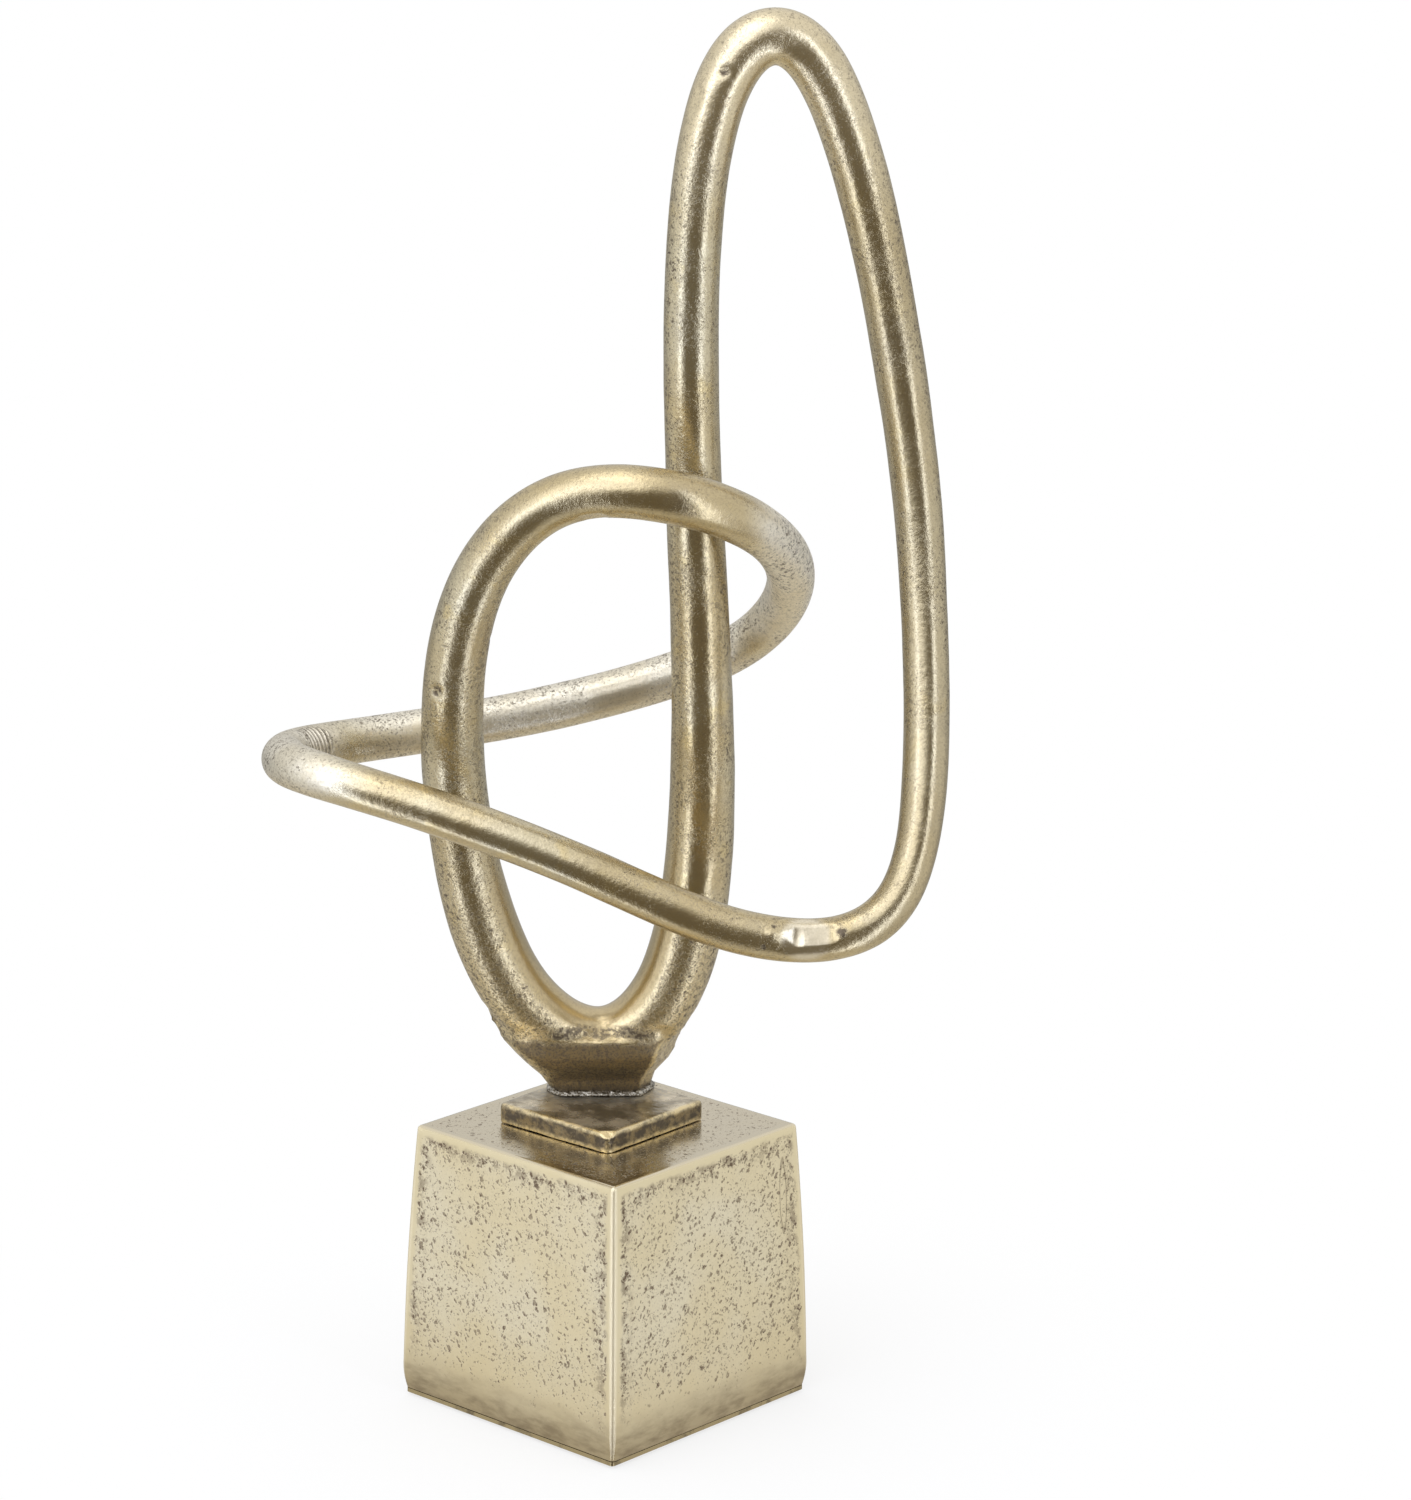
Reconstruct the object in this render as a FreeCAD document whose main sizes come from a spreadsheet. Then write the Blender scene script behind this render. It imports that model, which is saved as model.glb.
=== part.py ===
import FreeCAD, Part
import math
import os

import Sketcher
from FreeCAD import Placement, Rotation, Vector

# A knot of hand-finished cast bars, welded into one closed loop, on a cast block.
# Z is up and the origin is the middle of the felt that the block stands on. X and Y run
# along the block's sides; the knot stands across the block's corners.

os.makedirs("parts", exist_ok=True)
doc = FreeCAD.newDocument("knot_sculpture")
sheet = doc.addObject("Spreadsheet::Sheet", "sizes")

SIZES = (
    ("felt_thick", 1.0, "felt glued under the bottom sheet"),
    ("felt_inset", 2.0, "felt edge in from the sheet's edge"),
    ("sheet_thick", 1.5, "steel sheet that closes the hollow block"),
    ("block_foot", 99.6, "block side at its bottom edge"),
    ("block_belly", 101.6, "block side where it is widest"),
    ("belly_height", 11.0, "height of the widest place over the block's bottom edge"),
    ("block_top", 94.2, "block side at its top edge"),
    ("shell_height", 97.8, "height of the cast shell"),
    ("foot_radius", 38.0, "curve of a side below the belly"),
    ("side_radius", 1700.0, "slight swell of a side above the belly"),
    ("edge_round", 1.2, "rounding of the block's edges"),
    ("block_wall", 6.0, "side wall of the shell"),
    ("top_wall", 8.0, "top wall of the shell"),
    ("cavity_taper", 1.75, "draft of the cavity, degrees"),
    ("boss_side", 17.0, "screw boss in each corner of the shell, run into both walls"),
    ("boss_height", 26.0, "height of the bosses"),
    ("screw_inset", 37.0, "screws, each way from the middle"),
    ("screw_thick", 3.5, "thread of the bottom screws"),
    ("screw_length", 14.0, "bottom screws under the head's face"),
    ("screw_head", 6.0, "width of the countersunk heads"),
    ("head_depth", 1.25, "depth of the countersunk heads"),
    ("screw_hole_clear", 0.25, "air round a screw in the sheet"),
    ("thread_clear", 0.05, "air round a thread in its tapped hole"),
    ("pilot_spare", 2.0, "pilot hole beyond the screw's point"),
    ("plate_side", 50.0, "foot plate under the knot"),
    ("plate_thick", 7.5, "thickness of the foot plate"),
    ("plate_round", 1.0, "worn edges of the foot plate"),
    ("plate_x", -3.8, "foot plate off the block's middle along X"),
    ("plate_y", 1.1, "foot plate off the block's middle along Y"),
    ("plate_turn", 1.7, "foot plate's turn on the block, degrees"),
    ("bolt_thick", 8.0, "thread of the bolt that holds the foot plate"),
    ("bolt_grip", 5.5, "bolt's thread in the foot plate"),
    ("bolt_spare", 0.6, "tapped hole beyond the bolt's end"),
    ("bolt_hole", 9.0, "plain hole for the bolt in the top wall"),
    ("bolt_flats", 13.0, "bolt head across its flats"),
    ("bolt_head", 5.3, "height of the bolt's head"),
    ("washer_wide", 16.0, "flat washer, outside"),
    ("washer_bore", 8.4, "flat washer, hole"),
    ("washer_thick", 1.6, "flat washer, thickness"),
    ("spring_wide", 14.8, "spring washer, outside"),
    ("spring_bore", 8.2, "spring washer, hole"),
    ("spring_thick", 2.0, "spring washer, thickness"),
    ("spring_slot", 2.2, "gap in the spring washer"),
    ("knot_turn", 45.0, "knot's turn on the block, degrees"),
    ("knot_reach", 110.0, "how far the loops reach to each side of the plate's middle"),
    ("knot_depth", 60.0, "how far the bars swing to the front and the rear"),
    ("knot_rise", 375.0, "how high the loops rise over the foot plate"),
    ("bar_thick", 24.0, "bar at the foot, where it is thickest"),
    ("weld_gap", 5.0, "length of weld metal between two castings"),
    ("ring_run", 14.0, "longest step between the sections of a bar"),
    ("ring_turn", 13.0, "most that a bar turns from section to section, degrees"),
    ("neck_foot_wide", 34.4, "neck on the foot plate, across"),
    ("neck_foot_deep", 14.6, "neck on the foot plate, front to rear"),
    ("neck_top_wide", 63.0, "neck where it runs into the bars, across"),
    ("neck_top_deep", 24.8, "neck where it runs into the bars, front to rear"),
    ("neck_rise", 20.5, "height of the neck"),
    ("neck_crown_wide", 66.0, "neck where it ends inside the bars, across"),
    ("neck_crown_deep", 10.0, "neck where it ends inside the bars, front to rear"),
    ("neck_crown_rise", 28.0, "height at which the neck ends inside the bars"),
    ("neck_foot_across", 0.3, "neck's foot, across from the plate's middle"),
    ("neck_foot_back", 13.2, "neck's foot, to the rear of the plate's middle"),
    ("neck_top_across", -3.2, "neck's top, across from the plate's middle"),
    ("neck_top_back", 9.6, "neck's top, to the rear of the plate's middle"),
    ("bead_leg", 1.6, "weld bead round the neck's foot"),
    ("bead_lip", 0.3, "flat rim at the top of the bead"),
)
for row, (alias, value, note) in enumerate(SIZES, start=1):
    sheet.set("A%d" % row, note)
    sheet.set("B%d" % row, str(value))
    sheet.setAlias("B%d" % row, alias)
doc.recompute()


def size(alias):
    """a driving size read from the sheet"""
    return float(sheet.get(alias))


# The line of the knot: the control points of one closed uniform cubic curve, from the foot up
# the left branch, over the arch, round the right bend, back behind the branches to the left
# bend, forward across the front, round the lower right bend, up the tall bar, over the crown
# and down the straight branch to the foot. Each row has the shares of knot_reach to the
# right, of knot_depth to the front, of knot_rise upwards, and of bar_thick.
route_shares = (
    (0.008, -0.18, 0.031, 1.00),
    (-0.285, -0.11, 0.087, 1.02),
    (-0.435, -0.01, 0.217, 0.97),
    (-0.493, 0.17, 0.367, 0.88),
    (-0.442, 0.36, 0.511, 0.80),
    (-0.185, 0.52, 0.603, 0.75),
    (0.157, 0.76, 0.607, 0.75),
    (0.468, 0.49, 0.569, 0.72),
    (0.623, -0.08, 0.499, 0.68),
    (0.504, -0.56, 0.417, 0.65),
    (0.183, -0.73, 0.372, 0.65),
    (-0.328, -0.63, 0.339, 0.66),
    (-0.806, -0.53, 0.325, 0.66),
    (-1.044, -0.09, 0.330, 0.66),
    (-0.946, 0.49, 0.341, 0.65),
    (-0.567, 0.67, 0.315, 0.64),
    (-0.059, 0.86, 0.266, 0.63),
    (0.382, 0.96, 0.202, 0.61),
    (0.801, 0.94, 0.196, 0.61),
    (0.968, 0.74, 0.262, 0.62),
    (0.989, 0.42, 0.404, 0.65),
    (0.970, 0.12, 0.566, 0.69),
    (0.889, -0.04, 0.723, 0.73),
    (0.774, -0.11, 0.880, 0.78),
    (0.610, -0.09, 0.998, 0.79),
    (0.389, -0.04, 0.993, 0.80),
    (0.272, 0.02, 0.893, 0.79),
    (0.250, 0.04, 0.735, 0.78),
    (0.273, -0.01, 0.566, 0.81),
    (0.310, -0.01, 0.393, 0.89),
    (0.316, -0.06, 0.224, 0.97),
    (0.237, -0.13, 0.092, 1.00),
)

# Where the castings are welded, as shares of the way round the loop from the foot.
side_weld_share = 0.101
arch_weld_share = 0.172
left_bend_weld_share = 0.387
lower_right_weld_share = 0.549
crown_weld_share = 0.7925


def plane(piece, role):
    """one of a body's own origin planes"""
    return next(item for item in piece.Origin.OriginFeatures if item.Role == role)


def new_sketch(piece, name, role):
    """an empty sketch on a body's origin plane"""
    sketch = piece.newObject("Sketcher::SketchObject", name)
    sketch.AttachmentSupport = [(plane(piece, role), "")]
    sketch.MapMode = "FlatFace"
    return sketch


def bound(sketch, kind, *parts, by):
    """a dimension of a sketch that an expression drives"""
    index = sketch.addConstraint(Sketcher.Constraint(kind, *parts))
    sketch.setExpression("Constraints[%d]" % index, by)


def closed_loop(sketch, corners):
    """straight lines through the corners, joined end to end; returns their numbers"""
    ends = corners[1:] + corners[:1]
    lines = [sketch.addGeometry(Part.LineSegment(a, b)) for a, b in zip(corners, ends)]
    for line, following in zip(lines, lines[1:] + lines[:1]):
        sketch.addConstraint(Sketcher.Constraint("Coincident", line, 2, following, 1))
    return lines


def square(sketch, side, side_by):
    """a square whose middle lies on the origin"""
    corners = [Vector(x * side / 2, y * side / 2) for x, y in ((-1, -1), (1, -1), (1, 1), (-1, 1))]
    low, right, high, left = closed_loop(sketch, corners)
    for line in (low, high):
        sketch.addConstraint(Sketcher.Constraint("Horizontal", line))
    for line in (right, left):
        sketch.addConstraint(Sketcher.Constraint("Vertical", line))
    bound(sketch, "DistanceX", low, 1, low, 2, side, by=side_by)
    bound(sketch, "DistanceY", right, 1, right, 2, side, by=side_by)
    sketch.addConstraint(Sketcher.Constraint("Symmetric", low, 1, high, 1, -1, 1))


def pad(piece, name, sketch, length):
    """a pad straight up from its sketch"""
    feature = piece.newObject("PartDesign::Pad", name)
    feature.Profile = sketch
    feature.setExpression("Length", length)
    return feature


def edge_names(shape, wanted):
    """the names of the edges that the test picks"""
    return ["Edge%d" % (i + 1) for i, edge in enumerate(shape.Edges) if wanted(edge)]


def round_edges(piece, name, base, wanted, radius):
    """a fillet on the picked edges of the feature before it"""
    doc.recompute()
    feature = piece.newObject("PartDesign::Fillet", name)
    feature.Base = (base, edge_names(base.Shape, wanted))
    feature.setExpression("Radius", radius)
    return feature


def rises(edge):
    """true for an edge that leads from one height to another"""
    first, last = edge.Vertexes[0].Point, edge.Vertexes[-1].Point
    return abs(last.z - first.z) > edge.Length / 2


def body(name):
    """an empty body for one piece"""
    piece = doc.addObject("PartDesign::Body", name)
    piece.Label = name
    return piece


def slab(name, side, corner, thick):
    """a square sheet with rounded corners, its lower face at zero"""
    piece = body(name)
    outline = new_sketch(piece, name + "_outline", "XY_Plane")
    square(outline, size("block_foot"), side)
    plain = pad(piece, name + "_pad", outline, thick)
    round_edges(piece, name + "_corners", plain, rises, corner)
    return piece


def primitive(kind, name, **sizes):
    """a Part primitive with each of its sizes bound to an expression"""
    item = doc.addObject("Part::" + kind, name)
    for key, expression in sizes.items():
        item.setExpression(key.replace("_at_", "Placement.Base."), expression)
    return item


def combined(kind, name, **links):
    """a boolean of two or more objects"""
    item = doc.addObject("Part::" + kind, name)
    for key, value in links.items():
        setattr(item, key, value)
    return item


# Heights of the stack, from the felt up, and the width of the block's cavity at its mouth.
stack = doc.addObject("App::FeaturePython", "stack")
for name, expression in (
    ("sheet_base", "sizes.felt_thick"),
    ("shell_base", "sizes.felt_thick + sizes.sheet_thick"),
    ("block_level", "sizes.felt_thick + sizes.sheet_thick + sizes.shell_height"),
    ("wall_under", "stack.block_level - sizes.top_wall"),
    ("flat_under", "stack.wall_under - sizes.washer_thick"),
    ("spring_under", "stack.flat_under - sizes.spring_thick"),
    ("head_under", "stack.spring_under - sizes.bolt_head"),
    ("plate_level", "stack.block_level + sizes.plate_thick"),
    ("cavity_side", "min(sizes.block_foot; sizes.block_belly) - 2 * sizes.block_wall"),
):
    stack.addProperty("App::PropertyFloat", name)
    stack.setExpression(name, expression)
doc.recompute()


def level(name):
    """a height of the stack, or another size that is worked out from the sheet"""
    return getattr(stack, name)


def bulged(start, end, radius):
    """an arc that swells outwards, with its centre to the left of the way from start to end"""
    chord = end - start
    rise = radius - math.sqrt(radius**2 - (chord.Length / 2)**2)
    outwards = Vector(chord.y, -chord.x).normalize()
    return Part.Arc(start, (start + end) / 2 + outwards * rise, end)


def base_profile(sketch):
    """a side view of the block: flat foot and top, and sides that swell a little"""
    foot, belly, top = size("block_foot") / 2, size("block_belly") / 2, size("block_top") / 2
    low, high = size("belly_height"), size("shell_height")
    left_foot, right_foot = Vector(-foot, 0), Vector(foot, 0)
    left_belly, right_belly = Vector(-belly, low), Vector(belly, low)
    left_top, right_top = Vector(-top, high), Vector(top, high)
    order = [sketch.addGeometry(item) for item in (
        Part.LineSegment(left_foot, right_foot),
        bulged(right_foot, right_belly, size("foot_radius")),
        bulged(right_belly, right_top, size("side_radius")),
        Part.LineSegment(right_top, left_top),
        bulged(left_top, left_belly, size("side_radius")),
        bulged(left_belly, left_foot, size("foot_radius")))]
    foot_line, right_low, right_high, top_line, left_high, left_low = order
    for item, following in zip(order, order[1:] + order[:1]):
        sketch.addConstraint(Sketcher.Constraint("Coincident", item, 2, following, 1))
    for line in (foot_line, top_line):
        sketch.addConstraint(Sketcher.Constraint("Symmetric", line, 1, line, 2, -2))
    sketch.addConstraint(Sketcher.Constraint("PointOnObject", foot_line, 1, -1))
    sketch.addConstraint(Sketcher.Constraint("Symmetric", right_low, 2, left_high, 2, -2))
    bound(sketch, "DistanceX", foot_line, 1, foot_line, 2, 2 * foot, by="sizes.block_foot")
    bound(sketch, "DistanceX", left_high, 2, right_low, 2, 2 * belly, by="sizes.block_belly")
    bound(sketch, "DistanceX", top_line, 2, top_line, 1, 2 * top, by="sizes.block_top")
    bound(sketch, "DistanceY", -1, 1, right_low, 2, low, by="sizes.belly_height")
    bound(sketch, "DistanceY", -1, 1, top_line, 1, high, by="sizes.shell_height")
    for arc in (right_low, left_low):
        bound(sketch, "Radius", arc, size("foot_radius"), by="sizes.foot_radius")
    for arc in (right_high, left_high):
        bound(sketch, "Radius", arc, size("side_radius"), by="sizes.side_radius")


def swept_profile(name, role):
    """the block's side view carried across the whole block"""
    piece = body(name)
    outline = new_sketch(piece, name + "_outline", role)
    base_profile(outline)
    across = pad(piece, name + "_pad", outline, "sizes.block_belly * 2")
    across.Midplane = True
    return piece


def make_base_shell():
    """hollow cast block: swollen sides, four screw bosses and the bolt's hole in its top wall"""
    block = combined("Common", "block_form", Base=swept_profile("block_x", "XZ_Plane"),
                     Tool=swept_profile("block_y", "YZ_Plane"))
    doc.recompute()
    rounded = doc.addObject("Part::Fillet", "block_rounded")
    rounded.Base = block
    radius = size("edge_round")
    top = size("shell_height")
    picked = [i + 1 for i, edge in enumerate(block.Shape.Edges)
              if rises(edge) or min(v.Point.z for v in edge.Vertexes) > top - radius]
    rounded.Edges = [(index, radius, radius) for index in picked]

    hollow = body("block_hollow")
    mouth = new_sketch(hollow, "hollow_mouth", "XY_Plane")
    square(mouth, level("cavity_side"), "stack.cavity_side")
    core = pad(hollow, "hollow_core", mouth, "sizes.shell_height - sizes.top_wall")
    core.setExpression("TaperAngle", "-sizes.cavity_taper")
    round_edges(hollow, "hollow_corners", core, rises, "sizes.block_wall / 2")

    bosses = []
    for i, (x, y) in enumerate(((1, 1), (-1, 1), (-1, -1), (1, -1)), start=1):
        boss = primitive("Box", "boss_%d" % i, Length="sizes.boss_side", Width="sizes.boss_side",
                         Height="sizes.boss_height",
                         _at_x="%d * sizes.screw_inset - sizes.boss_side / 2" % x,
                         _at_y="%d * sizes.screw_inset - sizes.boss_side / 2" % y)
        bosses.append(boss)
    core_left = combined("Cut", "hollow_round_bosses", Base=hollow,
                         Tool=combined("MultiFuse", "bosses", Shapes=bosses))
    holes = [core_left, primitive("Cylinder", "bolt_way", Radius="sizes.bolt_hole / 2",
                                  Height="sizes.shell_height", _at_x="sizes.plate_x",
                                  _at_y="sizes.plate_y", _at_z="sizes.boss_height")]
    for i, (x, y) in enumerate(((1, 1), (-1, 1), (-1, -1), (1, -1)), start=1):
        holes.append(primitive(
            "Cylinder", "pilot_%d" % i, Radius="sizes.screw_thick / 2 + sizes.thread_clear",
            Height="sizes.screw_length + sizes.pilot_spare",
            _at_x="%d * sizes.screw_inset" % x, _at_y="%d * sizes.screw_inset" % y))
    shell = combined("Cut", "base_shell", Base=rounded,
                     Tool=combined("MultiFuse", "shell_holes", Shapes=holes))
    shell.Label = "base_shell"
    shell.setExpression("Placement.Base.z", "stack.shell_base")
    return shell


def screw_form(name, gap, x, y):
    """a countersunk screw, head down, or its hole when there is a gap; its head's face is at zero"""
    radius = "sizes.screw_thick / 2 + %s" % gap
    wide = "sizes.screw_head / 2 + %s" % gap
    places = {"_at_x": "%d * sizes.screw_inset" % x, "_at_y": "%d * sizes.screw_inset" % y}
    head = primitive("Cone", name + "_head", Radius1=wide, Radius2=radius,
                     Height="sizes.head_depth", **places)
    shank = primitive("Cylinder", name + "_shank", Radius=radius,
                      Height="sizes.screw_length + sizes.head_depth", **places)
    return combined("Fuse", name, Base=head, Tool=shank)


def make_bottom_sheet():
    """square sheet that closes the block, with a countersunk hole at each corner"""
    plain = slab("sheet_blank", "sizes.block_foot", "sizes.edge_round", "sizes.sheet_thick")
    holes = [screw_form("sheet_hole_%d" % i, "sizes.screw_hole_clear", x, y)
             for i, (x, y) in enumerate(((1, 1), (-1, 1), (-1, -1), (1, -1)), start=1)]
    sheet_piece = combined("Cut", "bottom_sheet", Base=plain,
                           Tool=combined("MultiFuse", "sheet_holes", Shapes=holes))
    sheet_piece.Label = "bottom_sheet"
    sheet_piece.setExpression("Placement.Base.z", "stack.sheet_base")
    return sheet_piece


def make_bottom_screws():
    """the four screws that hold the sheet"""
    screws = [screw_form("screw_%d" % i, "0", x, y)
              for i, (x, y) in enumerate(((1, 1), (-1, 1), (-1, -1), (1, -1)), start=1)]
    group = doc.addObject("Part::Compound", "bottom_screws")
    group.Links = screws
    group.Label = "bottom_screws"
    group.setExpression("Placement.Base.z", "stack.sheet_base")
    return group


def make_felt_underlay():
    """felt that the block stands on"""
    side = "sizes.block_foot - 2 * sizes.felt_inset"
    return slab("felt_underlay", side, "sizes.edge_round", "sizes.felt_thick")


def make_foot_plate():
    """square cast plate with worn edges, tapped from below for the bolt"""
    piece = body("foot_plate")
    outline = new_sketch(piece, "plate_outline", "XY_Plane")
    square(outline, size("plate_side"), "sizes.plate_side")
    plain = pad(piece, "plate_pad", outline, "sizes.plate_thick")
    worn = round_edges(piece, "plate_worn", plain, lambda edge: True, "sizes.plate_round")
    doc.recompute()
    full = worn.Shape.Volume
    mouth = new_sketch(piece, "plate_hole", "XY_Plane")
    hole = mouth.addGeometry(Part.Circle(Vector(), Vector(0, 0, 1), size("bolt_thick") / 2))
    mouth.addConstraint(Sketcher.Constraint("Coincident", hole, 3, -1, 1))
    bound(mouth, "Radius", hole, size("bolt_thick") / 2, by="sizes.bolt_thick / 2 + sizes.thread_clear")
    tapped = piece.newObject("PartDesign::Pocket", "plate_tapped")
    tapped.Profile = mouth
    tapped.Reversed = True
    tapped.setExpression("Length", "sizes.bolt_grip + sizes.bolt_spare")
    doc.recompute()
    if full - tapped.Shape.Volume < size("bolt_grip") * size("bolt_thick"):
        raise RuntimeError("the tapped hole is missing from the foot plate")
    piece.setExpression("Placement.Base.x", "sizes.plate_x")
    piece.setExpression("Placement.Base.y", "sizes.plate_y")
    piece.setExpression("Placement.Base.z", "stack.block_level")
    piece.setExpression("Placement.Rotation.Angle", "sizes.plate_turn")
    return piece


def stack_on_bolt(item, height):
    """puts a piece on the bolt's axis, its lower face at a height"""
    item.setExpression("Placement.Base.x", "sizes.plate_x")
    item.setExpression("Placement.Base.y", "sizes.plate_y")
    item.setExpression("Placement.Base.z", height)
    item.Label = item.Name
    return item


def washer_ring(name, wide, bore, thick):
    """a plain ring with its lower face at zero"""
    outer = primitive("Cylinder", name + "_outer", Radius=wide + " / 2", Height=thick)
    inner = primitive("Cylinder", name + "_inner", Radius=bore + " / 2", Height=thick)
    return outer, inner


def make_flat_washer():
    """plain washer under the top wall"""
    outer, inner = washer_ring("flat", "sizes.washer_wide", "sizes.washer_bore", "sizes.washer_thick")
    return stack_on_bolt(combined("Cut", "flat_washer", Base=outer, Tool=inner), "stack.flat_under")


def make_spring_washer():
    """split spring washer, pressed flat between the plain washer and the bolt's head"""
    outer, inner = washer_ring("spring", "sizes.spring_wide", "sizes.spring_bore", "sizes.spring_thick")
    slot = primitive("Box", "spring_split", Length="sizes.spring_wide", Width="sizes.spring_slot",
                     Height="sizes.spring_thick", _at_y="-sizes.spring_slot / 2")
    waste = combined("Fuse", "spring_waste", Base=inner, Tool=slot)
    return stack_on_bolt(combined("Cut", "spring_washer", Base=outer, Tool=waste), "stack.spring_under")


def make_mounting_bolt():
    """hexagon bolt, head down inside the block, that draws the foot plate onto the block"""
    corner = "sizes.bolt_flats / (2 * cos(30 deg))"
    head = primitive("Prism", "bolt_head_form", Circumradius=corner, Height="sizes.bolt_head")
    head.Polygon = 6
    shank = primitive("Cylinder", "bolt_shank", Radius="sizes.bolt_thick / 2",
                      Height="stack.block_level + sizes.bolt_grip - stack.head_under")
    return stack_on_bolt(combined("Fuse", "mounting_bolt", Base=head, Tool=shank), "stack.head_under")


def knot_at(share):
    """middle and thickness of the bar at a share of the way round the loop from the foot"""
    place = (share % 1.0) * len(route_shares)
    first = int(place)
    u = place - first
    weights = ((1 - u)**3, 3 * u**3 - 6 * u**2 + 4, -3 * u**3 + 3 * u**2 + 3 * u + 1, u**3)
    rows = [route_shares[(first + k - 1) % len(route_shares)] for k in range(4)]
    across, front, up, thick = (sum(w * row[i] for w, row in zip(weights, rows)) / 6 for i in range(4))
    middle = Vector(across * size("knot_reach"), -front * size("knot_depth"), up * size("knot_rise"))
    return middle, thick * size("bar_thick")


# Lengths and directions along the line are measured in fine steps, this many for each control
# point.
steps_per_point = 200
fine_step = 1 / (len(route_shares) * steps_per_point)

# A bar's volume may differ by this share from its section times its length.
volume_slack_share = 0.03


def heading(share):
    """direction of the bar at a share of the way round"""
    ahead = knot_at(share + fine_step)[0] - knot_at(share - fine_step)[0]
    return ahead.normalize()


def moved_along(share, length):
    """the share that lies a length further on, or back where the length is negative"""
    step = math.copysign(fine_step, length)
    gone = 0.0
    here = knot_at(share)[0]
    while gone < abs(length):
        share += step
        there = knot_at(share)[0]
        gone += (there - here).Length
        here = there
    return share


# A bar's last step is joined to the one before it where it is shorter than this share of the
# longest step.
short_run_share = 0.25


def sections(start, end):
    """shares at which a bar gets a section: closer together where it turns"""
    places = [start]
    run = 0.0
    here, way = knot_at(start)[0], heading(start)
    share = start
    while share + fine_step < end:
        share += fine_step
        there = knot_at(share)[0]
        run += (there - here).Length
        here = there
        turned = math.degrees(way.getAngle(heading(share)))
        if run > size("ring_run") or turned > size("ring_turn"):
            places.append(share)
            run = 0.0
            way = heading(share)
    if places[1:] and run < size("ring_run") * short_run_share:
        places.pop()
    return places + [end]


def bar(start, end):
    """a round bar of changing thickness along the knot's line, from one share to another"""
    rings = []
    side = heading(start).cross(Vector(0, 0, 1)).normalize()
    volume = 0.0
    for share in sections(start, end):
        middle, thick = knot_at(share)
        way = heading(share)
        side = (side - way * side.dot(way)).normalize()
        ring = Part.Wire([Part.makeCircle(thick / 2, Vector(), Vector(0, 0, 1), turn, turn + 90)
                          for turn in (0, 90, 180, 270)])
        ring.Placement = Placement(middle, Rotation(side, way.cross(side), way, "ZXY"))
        if rings:
            run = (middle - middle_before).Length
            volume += math.pi * run * ((thick + thick_before) / 4)**2
        middle_before, thick_before = middle, thick
        rings.append(ring)
    solid = Part.makeLoft(rings, True, False)
    if abs(solid.Volume / volume - 1) > volume_slack_share:
        raise RuntimeError("a bar's volume is not its section times its length")
    return solid


def round_ended(wide, deep, middle):
    """a level closed wire with straight front and rear sides and half-round ends"""
    straight = (wide - deep) / 2
    radius = deep / 2
    edges = []
    for quarter, end in enumerate((straight, -straight, -straight, straight)):
        start = quarter * math.pi / 2
        arc = [middle + Vector(end + radius * math.cos(a), radius * math.sin(a), 0)
               for a in (start, start + math.pi / 4, start + math.pi / 2)]
        if quarter % 2:
            edges.append(Part.LineSegment(edges[-1].Vertexes[-1].Point, arc[0]).toShape())
        edges.append(Part.Arc(*arc).toShape())
    return Part.Wire(edges)


def neck_section(share, grow=0.0):
    """outline of the neck at a share of its height, grown by an amount all round"""
    def between(foot, top):
        return size(foot) + share * (size(top) - size(foot))
    middle = Vector(between("neck_foot_across", "neck_top_across"),
                    between("neck_foot_back", "neck_top_back"), share * size("neck_rise"))
    return round_ended(between("neck_foot_wide", "neck_top_wide") + 2 * grow,
                       between("neck_foot_deep", "neck_top_deep") + 2 * grow, middle)


def neck():
    """block of metal that fills the corner between the two lowest bars and the foot plate"""
    crown_middle = Vector(size("neck_top_across"), size("neck_top_back"), size("neck_crown_rise"))
    crown = round_ended(size("neck_crown_wide"), size("neck_crown_deep"), crown_middle)
    return Part.makeLoft([neck_section(0.0), neck_section(1.0), crown], True, True)


knot_seat = Placement(Vector(size("plate_x"), size("plate_y"), level("plate_level")),
                      Rotation(Vector(0, 0, 1), size("knot_turn")))


def knot_piece(name, shape):
    """a piece of the knot, seated on the foot plate"""
    item = doc.addObject("Part::Feature", name)
    item.Shape = shape
    item.Label = name
    item.Placement = knot_seat
    return item


def make_castings():
    """the five cast bars, each between two welds"""
    half = size("weld_gap") / 2
    lowest = bar(moved_along(crown_weld_share, half), moved_along(1 + side_weld_share, -half))
    pieces = [knot_piece("foot_fork", lowest.fuse(neck()).removeSplitter())]
    for name, start, end in (
        ("left_shoulder_bar", side_weld_share, arch_weld_share),
        ("rear_bar", arch_weld_share, left_bend_weld_share),
        ("front_bar", left_bend_weld_share, lower_right_weld_share),
        ("tall_bar", lower_right_weld_share, crown_weld_share),
    ):
        pieces.append(knot_piece(name, bar(moved_along(start, half), moved_along(end, -half))))
    return pieces


def make_welds():
    """the weld metal between the castings, ground flush with the bars"""
    half = size("weld_gap") / 2
    return [knot_piece(name, bar(moved_along(share, -half), moved_along(share, half)))
            for name, share in (
                ("side_weld", side_weld_share),
                ("arch_weld", arch_weld_share),
                ("left_bend_weld", left_bend_weld_share),
                ("lower_right_weld", lower_right_weld_share),
                ("crown_weld", crown_weld_share))]


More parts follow.
